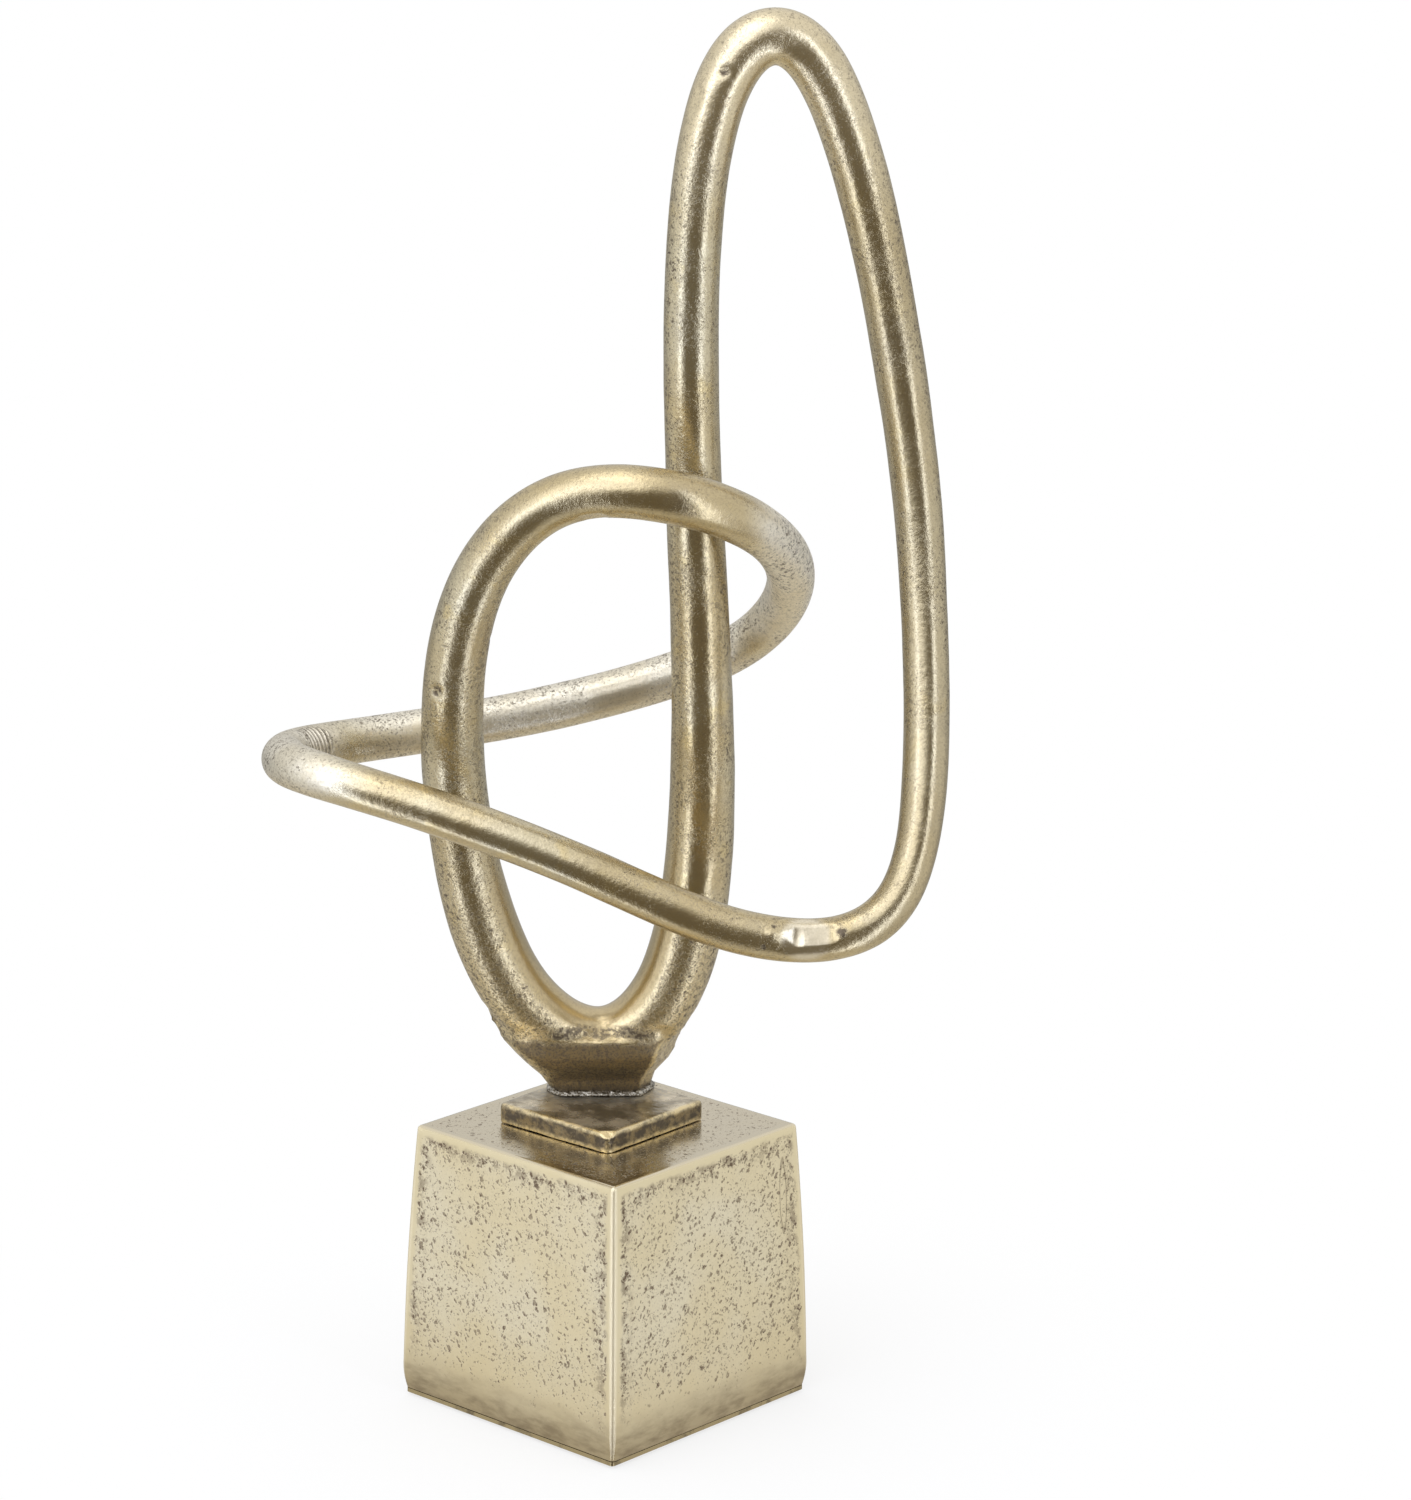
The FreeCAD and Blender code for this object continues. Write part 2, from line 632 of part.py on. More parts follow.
def make_neck_weld_bead():
    """fillet of weld metal round the neck's foot"""
    foot = neck_section(0.0, size("bead_leg"))
    rim = neck_section(size("bead_leg") / size("neck_rise"), size("bead_lip"))
    return knot_piece("neck_weld_bead", Part.makeLoft([foot, rim], True, True).cut(neck()))


pieces = [
    make_felt_underlay(),
    make_bottom_sheet(),
    make_bottom_screws(),
    make_base_shell(),
    make_flat_washer(),
    make_spring_washer(),
    make_mounting_bolt(),
    make_foot_plate(),
    make_neck_weld_bead(),
]
pieces += make_castings()
pieces += make_welds()
doc.recompute()

for item in doc.Objects:
    if "Invalid" in item.State or "Error" in item.State:
        raise RuntimeError("%s did not build: %s" % (item.Name, item.State))
for piece in pieces:
    if piece.Shape.isNull() or not piece.Shape.isValid():
        raise RuntimeError("%s has no valid shape" % piece.Label)
for piece in pieces:
    piece.Shape.exportStep("parts/%s.step" % piece.Label)
    print("%-20s %8.1f mm3, solids %d" % (piece.Label, piece.Shape.Volume, len(piece.Shape.Solids)))
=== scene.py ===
import math

import bmesh
import bpy
from mathutils import Matrix, Vector, kdtree, noise


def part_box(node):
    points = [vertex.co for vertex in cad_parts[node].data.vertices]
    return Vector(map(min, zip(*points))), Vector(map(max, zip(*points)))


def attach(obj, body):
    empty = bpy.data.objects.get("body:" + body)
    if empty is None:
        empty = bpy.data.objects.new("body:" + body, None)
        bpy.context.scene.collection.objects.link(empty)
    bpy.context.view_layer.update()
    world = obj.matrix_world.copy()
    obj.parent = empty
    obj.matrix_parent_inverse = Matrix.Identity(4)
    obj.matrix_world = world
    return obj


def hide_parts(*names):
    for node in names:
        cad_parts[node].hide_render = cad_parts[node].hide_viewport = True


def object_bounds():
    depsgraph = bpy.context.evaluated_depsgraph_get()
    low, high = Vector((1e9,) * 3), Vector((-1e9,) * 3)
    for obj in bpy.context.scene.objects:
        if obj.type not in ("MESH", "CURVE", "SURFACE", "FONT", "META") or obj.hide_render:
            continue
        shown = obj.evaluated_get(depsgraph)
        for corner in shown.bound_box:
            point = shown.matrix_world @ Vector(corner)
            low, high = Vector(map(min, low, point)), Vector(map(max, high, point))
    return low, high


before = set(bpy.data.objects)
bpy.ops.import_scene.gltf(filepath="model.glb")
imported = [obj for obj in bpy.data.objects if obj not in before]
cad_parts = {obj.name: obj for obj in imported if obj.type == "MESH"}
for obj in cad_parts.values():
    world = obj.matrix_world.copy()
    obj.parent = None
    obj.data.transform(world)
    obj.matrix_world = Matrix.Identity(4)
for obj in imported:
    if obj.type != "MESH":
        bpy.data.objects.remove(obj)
cad_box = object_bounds()

# Felt underlay: a sheet of black wool felt, cut a little smaller than the block and glued
# under its bottom sheet. It keeps the block from scratching the table.


class Value:
    """a number in a shader, whose operators add Math nodes to its tree"""

    def __init__(self, socket):
        self.socket = socket

    def worked(self, operation, *items):
        tree = self.socket.id_data
        node = tree.nodes.new("ShaderNodeMath")
        node.operation = operation
        for place, item in zip(node.inputs, items):
            if isinstance(item, Value):
                tree.links.new(item.socket, place)
            else:
                place.default_value = item
        return Value(node.outputs[0])

    def __add__(self, other):
        return self.worked("ADD", self, other)

    def __radd__(self, other):
        return self.worked("ADD", other, self)

    def __sub__(self, other):
        return self.worked("SUBTRACT", self, other)

    def __rsub__(self, other):
        return self.worked("SUBTRACT", other, self)

    def __mul__(self, other):
        return self.worked("MULTIPLY", self, other)

    def __rmul__(self, other):
        return self.worked("MULTIPLY", other, self)

    def __abs__(self):
        return self.worked("ABSOLUTE", self)

    def least(self, other):
        return self.worked("MINIMUM", self, other)

    def most(self, other):
        return self.worked("MAXIMUM", self, other)


class Finish:
    """a material of this object, on one principled surface"""

    def __init__(self, name):
        self.material = bpy.data.materials.new(name)
        self.material.use_nodes = True
        self.tree = self.material.node_tree
        self.surface = self.tree.nodes["Principled BSDF"]
        self.place = self.node("TexCoord", output="Object")

    def node(self, kind, settings=None, inputs=None, output=0):
        """one node: its settings first, then the values or links of its sockets"""
        node = self.tree.nodes.new("ShaderNode" + kind)
        for key, value in (settings or {}).items():
            setattr(node, key, value)
        for key, value in (inputs or {}).items():
            self.feed(node.inputs[key], value)
        return Value(node.outputs[output])

    def feed(self, socket, value):
        """links a socket to a value of the tree, or sets it to a number or a colour"""
        if isinstance(value, Value):
            self.tree.links.new(value.socket, socket)
        else:
            socket.default_value = value

    def shows(self, **values):
        """feeds the surface: base_color, roughness, metallic, normal and the like"""
        for key, value in values.items():
            self.feed(self.surface.inputs[key.replace("_", " ").title()], value)

    def mottle(self, size, detail=2.0, rough=0.5, place=None):
        """cloudy variation about 0.5, with patches about as wide as the size"""
        return self.node("TexNoise", None, {"Vector": place or self.place, "Scale": 1 / size,
                                            "Detail": detail, "Roughness": rough})

    def stray(self, size, reach, detail=2.0, rough=0.5):
        """a length that wanders over the surface, by up to the reach either way"""
        return self.mottle(size, detail, rough) * (2 * reach) - reach

    def rise(self, value, low, high):
        """0 below low, 1 above high, and smooth between them"""
        return self.node("MapRange", {"interpolation_type": "SMOOTHSTEP"},
                         {"Value": value, "From Min": low, "From Max": high})

    def fall(self, value, low, high):
        """1 below low, 0 above high, and smooth between them"""
        return 1 - self.rise(value, low, high)

    def between(self, value, low, high):
        """1 between two limits, each given as the range in which it fades"""
        return self.rise(value, *low) * self.fall(value, *high)

    def tint(self, share, first, second):
        """the first colour where the share is 0, the second where it is 1"""
        first, second = (c if isinstance(c, Value) else (*c, 1.0) for c in (first, second))
        return self.node("Mix", {"data_type": "RGBA"}, {0: share, 6: first, 7: second}, output=2)

    def relief(self, height, depth, below=None):
        """a bump whose height of 1 is the depth, in metres"""
        inputs = {"Height": height, "Strength": 1.0, "Distance": depth}
        if below:
            inputs["Normal"] = below
        return self.node("Bump", None, inputs)

    def axes(self, place=None):
        """the three coordinates of a place, in metres"""
        split = self.node("SeparateXYZ", None, {"Vector": place or self.place}).socket.node
        return [Value(split.outputs[letter]) for letter in "XYZ"]

    def framed(self, place, middle=(0, 0, 0), turn=(0, 0, 0), size=(1, 1, 1)):
        """a place as it reads in a frame of its own, with that middle, turn and size"""
        return self.node("Mapping", {"vector_type": "TEXTURE"}, {
            "Vector": place, "Location": middle, "Rotation": turn, "Scale": size})

    def measure(self, operation, *vectors):
        """a number from vectors: a dot product, a distance or a length"""
        return self.node("VectorMath", {"operation": operation}, dict(enumerate(vectors)), output="Value")

    def covers(self, piece):
        """gives a piece this finish and no other"""
        piece.data.materials.clear()
        piece.data.materials.append(self.material)


felt_black = (0.012, 0.012, 0.013)
felt_grey = (0.045, 0.044, 0.043)
felt_fibre = 0.0006
felt_fuzz = 0.4
felt = Finish("black felt")
felt_hair = felt.mottle(felt_fibre, 4.0, 0.7)
felt.shows(base_color=felt.tint(felt_hair, felt_black, felt_grey), roughness=0.95,
           sheen_weight=felt_fuzz, normal=felt.relief(felt_hair, felt_fibre / 2))
felt.covers(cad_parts["felt_underlay"])

# Bottom sheet: steel with the block's brass finish, screwed under it into four bosses. Only
# its edge shows, as a thin line under the block.
# The sheet's brass is painted darker than the block's: painted shade for the contact shadow under the block.
sheet_shaded_brass = (0.40, 0.32, 0.18)
sheet_dull = (0.20, 0.16, 0.10)
sheet_stain = 0.007
sheet_ripple = 0.00004
brassed = Finish("brassed steel sheet")
stain = brassed.rise(brassed.mottle(sheet_stain, 4.0, 0.65), 0.45, 0.70)
brassed.shows(base_color=brassed.tint(stain, sheet_shaded_brass, sheet_dull), metallic=1.0,
              roughness=0.26 + stain * 0.25,
              normal=brassed.relief(brassed.mottle(sheet_stain / 8), sheet_ripple))
brassed.covers(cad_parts["bottom_sheet"])

# Screws, washers and bolt: zinc-plated steel. The screws hold the sheet, and the bolt with
# its two washers draws the foot plate down from inside the block.
steel_pale = (0.60, 0.61, 0.62)
steel_dull = (0.42, 0.43, 0.45)
spangle = 0.004
steel = Finish("zinc plated steel")
steel_patch = steel.mottle(spangle, 3.0)
steel.shows(base_color=steel.tint(steel_patch, steel_dull, steel_pale), metallic=1.0,
            roughness=0.28 + steel_patch * 0.2,
            normal=steel.relief(steel.mottle(spangle / 10), spangle / 400))
for name in ("bottom_screws", "flat_washer", "spring_washer", "mounting_bolt"):
    steel.covers(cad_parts[name])

# Base block: a hollow casting, drawn in towards its top and turned in at its foot. The
# skin is satin brass full of dark casting pits, ground clean along every edge.
block_low, block_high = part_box("base_shell")
block_rise = block_high.z - block_low.z
belly_half = (block_high.x - block_low.x) / 2
foot_tuck = 0.0010
top_draft = 0.0037
foot_half = belly_half - foot_tuck
top_half = belly_half - top_draft
belly_height = 0.011
foot_swell = 0.0004
side_swell = 0.00055
block_cells = 52
block_edge = 0.0014
block_foot_edge = 0.0004
block_foot_level = block_low.z + 0.0001
block_wave = (0.03, 0.00012)
sharp_angle = math.radians(50)


def block_half(height):
    """half the block's width at a height over its bottom edge"""
    if height < belly_height:
        share = height / belly_height
        return foot_half + share * (belly_half - foot_half) + 4 * foot_swell * share * (1 - share)
    share = (height - belly_height) / (block_rise - belly_height)
    return belly_half + share * (top_half - belly_half) + 4 * side_swell * share * (1 - share)


def finished(name, mesh, finish, node):
    """makes the piece that a mesh shapes, gives it its finish and puts it in its node's place"""
    data = bpy.data.meshes.new(name)
    mesh.to_mesh(data)
    mesh.free()
    piece = bpy.data.objects.new(name, data)
    bpy.context.collection.objects.link(piece)
    finish.covers(piece)
    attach(piece, "root")
    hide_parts(node)


def shaded(mesh):
    """lets the light run smoothly over a skin"""
    for face in mesh.faces:
        face.smooth = True


def softened(mesh, low, high, reach):
    """rounds the edges of a cast piece whose middles lie between two heights"""
    edges = [edge for edge in mesh.edges if edge.calc_face_angle(0) > sharp_angle
             and low < (edge.verts[0].co.z + edge.verts[1].co.z) / 2 < high]
    bmesh.ops.bevel(mesh, geom=edges, offset=reach, segments=3, affect="EDGES", profile=0.5,
                    material=-1, clamp_overlap=True)
    shaded(mesh)


def waved(mesh, size, depth):
    """moves a skin in and out a little, as casting and filing leave it"""
    mesh.normal_update()
    for vertex in mesh.verts:
        vertex.co -= vertex.normal * depth * (0.5 + 0.5 * noise.noise(vertex.co / size))


block = bmesh.new()
bmesh.ops.create_cube(block, size=1.0)
bmesh.ops.subdivide_edges(block, edges=block.edges[:], cuts=block_cells - 1, use_grid_fill=True)
for vertex in block.verts:
    height = (vertex.co.z + 0.5) * block_rise
    wide = 2 * block_half(height)
    vertex.co = Vector((vertex.co.x * wide, vertex.co.y * wide, block_low.z + height))
softened(block, block_foot_level, math.inf, block_edge)
softened(block, -math.inf, block_foot_level, block_foot_edge)
waved(block, *block_wave)

block_gold = (0.775, 0.68, 0.465)
block_pale = (0.80, 0.725, 0.54)
block_rim = (0.77, 0.665, 0.425)
block_top = (0.67, 0.595, 0.445)
block_pit = (0.185, 0.135, 0.09)
block_smear = (0.28, 0.22, 0.14)
block_low_shade = (0.70, 0.59, 0.37)
block_corner_highlight = (0.98, 0.90, 0.70)
clean_rim = 0.0032
rag_size = 0.006
rag_reach = 0.0025
top_fade = 0.0009
corner_fade = (0.0012, 0.0020)
foot_band = 0.019
low_shade_fade = (0.008, 0.046)
small_pit_apart = 0.0013
small_pit_slant = 0.6
large_pit_apart = 0.0023
large_pit_slant = -0.7
pit_stretch = (0.75, 0.75, 1.6)
pit_depth = 0.00008
crowd_size = 0.015
speck_size = 0.0008
smudge_size = 0.0042
smear_size = 0.0045
smear_stretch = (0.35, 0.35, 1.0)
warm_size = 0.03
hollow_size = 0.010
hollow_depth = 0.00018
scratch_middle = (0.0465, 0.0385, 0.0760)
scratch_reach = (0.05, 0.0017, 0.0125)
scratch_stray = 0.004


def pitted(finish, apart, crowd, slant=0.0):
    """small casting pits of uneven outline, one to a cell at most, larger where they crowd"""
    drift = finish.node("TexNoise", None, {"Vector": finish.place, "Scale": 1.1 / apart, "Detail": 2.0},
                        output="Color")
    drift = finish.node("VectorMath", {"operation": "SCALE"}, {0: drift, "Scale": apart * 1.5})
    place = finish.node("VectorMath", {"operation": "ADD"}, {0: finish.place, 1: drift})
    if slant:
        place = finish.framed(place, turn=(slant, slant, 0), size=pit_stretch)
    cells = {"Vector": place, "Scale": 1 / apart}
    drawn = finish.node("TexVoronoi", None, cells, output="Color")
    reach = finish.node("SeparateColor", None, {"Color": drawn}) * 0.34 + crowd * 0.14 - 0.05
    return finish.fall(finish.node("TexVoronoi", None, cells) - reach, -0.06, 0.07)


brass = Finish("pitted brass skin")
x, y, z = brass.axes()
x, y = abs(x), abs(y)
over_foot = z - block_low.z
side_half = belly_half - (over_foot - belly_height) * ((belly_half - top_half) / (block_rise - belly_height))
on_top = brass.rise(z, block_high.z - top_fade, block_high.z - top_fade / 3)
from_side = side_half - x.least(y)
from_rim = from_side.least(block_high.z - z)
from_top_rim = top_half - x.most(y)
from_edge = from_rim + on_top * (from_top_rim - from_rim)
ragged = brass.stray(rag_size, rag_reach, 4.0, 0.6)
inside_rim = brass.rise(from_edge + ragged, clean_rim * 0.7, clean_rim * 1.5)
near_rim = brass.fall(from_edge, clean_rim, clean_rim * 3.5)
over_band = brass.rise(over_foot + ragged * 3.0, foot_band * 0.3, foot_band * 1.5)

# The pits: thick beside the clean rim, thin on the top, and in loose patches between.
patch = brass.rise(brass.mottle(crowd_size, 3.0, 0.55), 0.32, 0.68)
crowd = (patch * 0.45 + 0.55 + near_rim * 0.25) * inside_rim * over_band * (1 - on_top * 0.45)
shown = brass.rise(crowd, 0.02, 0.35)
small_pits = pitted(brass, small_pit_apart, crowd, small_pit_slant) * shown
large_pits = pitted(brass, large_pit_apart, crowd, large_pit_slant) * shown
specks = brass.rise(brass.mottle(speck_size, 4.0, 0.75), 0.46, 0.66) * crowd
smudge = brass.rise(brass.mottle(smudge_size, 4.0, 0.75) + near_rim * 0.04, 0.49, 0.60)
smudge = smudge * near_rim * inside_rim * over_band
scratch = brass.measure("LENGTH", brass.framed(brass.place, scratch_middle, size=scratch_reach))
scratch = brass.fall(abs(scratch + brass.mottle(scratch_stray) * 0.3 - 1.15), 0.06, 0.20)
dark = small_pits * 0.50 + large_pits * 0.66 + specks * 0.16 + smudge * 0.62 * (1 - on_top)
dark = (dark + scratch * 0.45).least(1.0)

# The metal between them: pale, yellower along the rims and smeared at its foot, with painted
# shade low down, darker and yellower where the turned-in foot mirrors the shaded table.
streaky = brass.node("Mapping", None, {"Vector": brass.place, "Scale": smear_stretch})
smear = brass.rise(brass.mottle(smear_size, 4.0, 0.65, streaky), 0.35, 0.70) * 0.45 + 0.45
smear = smear * brass.fall(over_foot, 0.003, foot_band) * (1 - on_top)
warm = brass.tint(brass.rise(brass.mottle(warm_size), 0.35, 0.65), block_gold, block_pale)
warm = brass.tint((1 - inside_rim) * 0.5, warm, block_rim)
# painted shade: darker and yellower low down, for the shaded table that the foot mirrors
warm = brass.tint(brass.fall(over_foot + ragged * 3.0, *low_shade_fade) * 0.7, warm, block_low_shade)
warm = brass.tint(on_top, warm, block_top)
warm = brass.tint(smear, warm, block_smear)
# painted highlight: each upright corner lightens towards a bright cream line, and is rougher there
corner_highlight = brass.fall(from_side, *corner_fade)
warm = brass.tint(corner_highlight * 0.45, warm, block_corner_highlight)
brass.shows(base_color=brass.tint(dark, warm, block_pit), metallic=1 - dark * 0.2,
            roughness=0.33 + dark * 0.25 - on_top * 0.15 - (1 - inside_rim) * 0.04 + corner_highlight * 0.26,
            normal=brass.relief(1 - dark, pit_depth, brass.relief(brass.mottle(hollow_size), hollow_depth)))
finished("block_skin", block, brass, "base_shell")

# Foot plate: a small square casting in darker bronze, set a little askew on the block. Its
# edges are worn bright, and the corner at the front has been knocked. It is cut a little wide
# here, because the waves in its skin draw the sides in.
plate_low, plate_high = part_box("foot_plate")
plate_middle = Vector(((plate_low.x + plate_high.x) / 2, (plate_low.y + plate_high.y) / 2, plate_low.z))
plate_thick = plate_high.z - plate_low.z
plate_centre = plate_middle + Vector((0, 0, plate_thick / 2))
plate_turn = math.radians(1.7)
plate_spare = 0.0014
plate_side = 0.050 + plate_spare
plate_levels = 8
plate_cells = 84
plate_edge = 0.0017
plate_corner = 0.0021
plate_foot_edge = 0.0005
plate_wave = (0.009, 0.00050)
knock_facing = Vector((1.0, -1.0, 1.9)).normalized()
knock_depth = 0.0023
knock_fade = 0.0002
nick_size = 0.0022
nick_depth = 0.00025
crush_way = Vector((0.71, -0.71, 0))
crush_reach = 0.0045
crush_depth = 0.0010
crush_lump = 0.0011

plate = bmesh.new()
bmesh.ops.create_cube(plate, size=1.0)
bmesh.ops.scale(plate, vec=(plate_side, plate_side, plate_thick), verts=plate.verts)
softened(plate, -plate_thick * 0.1, plate_thick * 0.1, plate_corner)
softened(plate, plate_thick * 0.45, math.inf, plate_edge)
softened(plate, -math.inf, -plate_thick * 0.45, plate_foot_edge)
for letter, cuts in (("z", plate_levels), ("x", plate_cells), ("y", plate_cells)):
    runs = [edge for edge in plate.edges
            if abs(getattr(edge.verts[1].co - edge.verts[0].co, letter)) > plate_edge * 1.2]
    bmesh.ops.subdivide_edges(plate, edges=runs, cuts=cuts, use_grid_fill=True)
waved(plate, *plate_wave)
corner = Vector((plate_side / 2, -plate_side / 2, plate_thick / 2))
knock_level = corner.dot(knock_facing) - knock_depth
for vertex in plate.verts:
    over = vertex.co.dot(knock_facing) - knock_level
    nick = noise.noise(vertex.co / nick_size)
    if over > -knock_fade:
        vertex.co -= knock_facing * (over + knock_fade + nick_depth * nick)
    near = max(0.0, 1 - (vertex.co - corner).xy.length / crush_reach)
    vertex.co -= crush_way * crush_depth * near * (1 + 0.9 * noise.noise(vertex.co / crush_lump))
bmesh.ops.transform(plate, verts=plate.verts,
                    matrix=Matrix.Translation(plate_centre) @ Matrix.Rotation(plate_turn, 4, "Z"))

bronze_dark = (0.31, 0.26, 0.175)
bronze_mid = (0.82, 0.72, 0.54)
bronze_side_shade = (0.30, 0.24, 0.15)
bronze_grey = (0.075, 0.062, 0.048)
heat_grey = (0.43, 0.415, 0.375)
bronze_worn = (0.78, 0.64, 0.37)
worn_reach = 0.0023
wear_size = 0.0022
scuff_size = 0.0035
scuff_reach = 0.0011
cloud_size = 0.011
grit_size = 0.0016
grit_depth = 0.00014
grime_size = 0.0045
dimple_size = 0.006
dimple_depth = 0.0004
heat_middle = plate_middle + Vector((-0.0091, 0.0096, 0))
heat_turn = math.radians(45)
heat_reach = (0.0255, 0.0155, 1.0)

bronze = Finish("aged bronze plate")
plate_place = bronze.framed(bronze.place, plate_centre, (0, 0, plate_turn))
ahead = bronze.measure("DOT_PRODUCT", plate_place, crush_way)
x, y, z = (far - abs(part) for far, part in zip((corner.x, corner.x, corner.z), bronze.axes(plate_place)))
from_edge = x.least(y).most(x.most(y).least(z))
scuff = bronze.stray(scuff_size, scuff_reach, 3.0, 0.6)
worn = bronze.fall(from_edge + scuff, worn_reach * 0.25, worn_reach)
worn = worn * (bronze.rise(bronze.mottle(wear_size, 4.0, 0.7), 0.36, 0.56) * 0.75 + 0.25)
worn = worn * (bronze.rise(ahead, -0.006, 0.006) * 0.85 + 0.15)
knocked = bronze.measure("DOT_PRODUCT", plate_place, knock_facing)
knocked = bronze.rise(knocked, knock_level - 0.0010, knock_level - 0.0005)
worn = worn.most(knocked * 0.95)
cloud = bronze.rise(bronze.mottle(cloud_size, 4.0, 0.6), 0.40, 0.66)
grit = bronze.mottle(grit_size, 5.0, 0.75)
knock_pits = bronze.rise(grit, 0.49, 0.56) * bronze.fall(x.most(y), 0.0018, 0.0045) * (1 - knocked)
knock_pits = knock_pits * bronze.rise(z, 0.0016, 0.0026) * bronze.rise(ahead, 0.02, 0.03)
on_top = bronze.fall(z, 0.0004, 0.0012)
side_dirt = bronze.rise(grit * 0.5 + bronze.mottle(grime_size, 3.0) * 0.5, 0.42, 0.56)
side_dirt = side_dirt * (1 - on_top) * (1 - worn * 0.7)
from_weld = bronze.measure("LENGTH", bronze.framed(bronze.place, heat_middle, (0, 0, heat_turn), heat_reach))
heated = bronze.fall(from_weld + scuff * 60, 0.80, 1.20) * on_top
# painted shade: the sides take a darker bronze than the top
tone = bronze.tint(on_top, bronze_side_shade, bronze.tint(cloud, bronze_dark, bronze_mid))
tone = bronze.tint(heated * bronze.rise(grit, 0.40, 0.60) * 0.8, tone, heat_grey)
tone = bronze.tint(side_dirt * 0.85, tone, bronze_grey)
tone = bronze.tint(worn, tone, bronze_worn)
bronze.shows(base_color=bronze.tint(knock_pits * 0.85, tone, bronze_grey),
             metallic=1 - side_dirt * 0.25 - on_top * (1 - worn) * 0.15,
             roughness=0.21 + cloud * 0.09 + side_dirt * 0.25 + heated * 0.20 + worn * 0.06,
             normal=bronze.relief(grit * (1 - on_top * 0.6), grit_depth,
                                  bronze.relief(bronze.mottle(dimple_size), dimple_depth)))
finished("plate_casting", plate, bronze, "foot_plate")

# Foot fork: the lowest casting of the knot. Its two bars rise from a thick foot, and the
# metal between them and the plate is ground to a neck with a flat front, painted dark as painted shade.
seat = plate_middle + Vector((0, 0, plate_thick))
knot_angle = math.radians(45)
knot_turn = Matrix.Rotation(knot_angle, 3, "Z")
knot_reach = 0.110
knot_depth = 0.060
knot_rise = 0.375
bar_thick = 0.024
weld_gap = 0.005
ring_step = 0.0010
ring_sides = 64
bar_waves = ((0.045, 0.00040), (0.016, 0.00011), (0.006, 0.00003))
dent_span = 0.02

# The line of the knot, as control points of one closed cubic curve: shares of its reach to
# the right, of its depth to the front, of its rise upwards, and of the bar's thickness.
route_shares = (
    (0.008, -0.18, 0.031, 1.00),
    (-0.285, -0.11, 0.087, 1.02),
    (-0.435, -0.01, 0.217, 0.97),
    (-0.493, 0.17, 0.367, 0.88),
    (-0.442, 0.36, 0.511, 0.80),
    (-0.185, 0.52, 0.603, 0.75),
    (0.157, 0.76, 0.607, 0.75),
    (0.468, 0.49, 0.569, 0.72),
    (0.623, -0.08, 0.499, 0.68),
    (0.504, -0.56, 0.417, 0.65),
    (0.183, -0.73, 0.372, 0.65),
    (-0.328, -0.63, 0.339, 0.66),
    (-0.806, -0.53, 0.325, 0.66),
    (-1.044, -0.09, 0.330, 0.66),
    (-0.946, 0.49, 0.341, 0.65),
    (-0.567, 0.67, 0.315, 0.64),
    (-0.059, 0.86, 0.266, 0.63),
    (0.382, 0.96, 0.202, 0.61),
    (0.801, 0.94, 0.196, 0.61),
    (0.968, 0.74, 0.262, 0.62),
    (0.989, 0.42, 0.404, 0.65),
    (0.970, 0.12, 0.566, 0.69),
    (0.889, -0.04, 0.723, 0.73),
    (0.774, -0.11, 0.880, 0.78),
    (0.610, -0.09, 0.998, 0.79),
    (0.389, -0.04, 0.993, 0.80),
    (0.272, 0.02, 0.893, 0.79),
    (0.250, 0.04, 0.735, 0.78),
    (0.273, -0.01, 0.566, 0.81),
    (0.310, -0.01, 0.393, 0.89),
    (0.316, -0.06, 0.224, 0.97),
    (0.237, -0.13, 0.092, 1.00),
)
side_weld_share = 0.101
arch_weld_share = 0.172
left_bend_weld_share = 0.387
lower_right_weld_share = 0.549
crown_weld_share = 0.7925
fine_share = 1 / (len(route_shares) * 200)


def seen(across, front, up):
    """a direction in the knot's own sense: to the right, to the front and up"""
    return knot_turn @ Vector((across, -front, up))


def knot_at(share):
    """middle and radius of the bar at a share of the way round the loop from the foot"""
    place = (share % 1.0) * len(route_shares)
    first = int(place)
    u = place - first
    weights = ((1 - u)**3, 3 * u**3 - 6 * u**2 + 4, -3 * u**3 + 3 * u**2 + 3 * u + 1, u**3)
    rows = [route_shares[(first + k - 1) % len(route_shares)] for k in range(4)]
    across, front, up, thick = (sum(w * row[i] for w, row in zip(weights, rows)) / 6 for i in range(4))
    middle = seat + seen(across * knot_reach, front * knot_depth, up * knot_rise)
    return middle, thick * bar_thick / 2


def heading(share):
    """direction of the bar at a share of the way round"""
    return (knot_at(share + fine_share)[0] - knot_at(share - fine_share)[0]).normalized()


def moved_along(share, length):
    """the share that lies a length further on, or back where the length is negative"""
    step = math.copysign(fine_share, length)
    gone = 0.0
    here = knot_at(share)[0]
    while gone < abs(length):
        share += step
        there = knot_at(share)[0]
        gone += (there - here).length
        here = there
    return share


# Marks of the hand work, each with the share of the way round and the side that it faces, to
# the right, to the front and up: dents with their reach and depth, and ground flats, which
# run from one share to the next, with the depth that is ground off.
dents = (
    (0.1018, -0.52, 0.82, 0.22, 0.0036, 0.0008),
    (0.1042, -0.40, 0.90, 0.15, 0.0030, -0.0003),
    (0.1145, 0.99, 0.10, -0.20, 0.0022, 0.0008),
    (0.3265, -0.12, 0.83, 0.53, 0.0030, 0.0003),
    (0.3975, -0.08, 0.78, 0.62, 0.0055, -0.0007),
    (0.3860, 0.00, 0.90, 0.40, 0.0030, 0.0004),
    (0.7903, -0.18, 0.96, 0.20, 0.0035, 0.0004),
    (0.2193, -0.43, 0.81, -0.46, 0.0016, 0.0005),
    (0.5448, -0.20, 0.93, 0.30, 0.0065, 0.0007),
    (0.5408, -0.20, 0.88, 0.44, 0.0030, -0.0004),
)
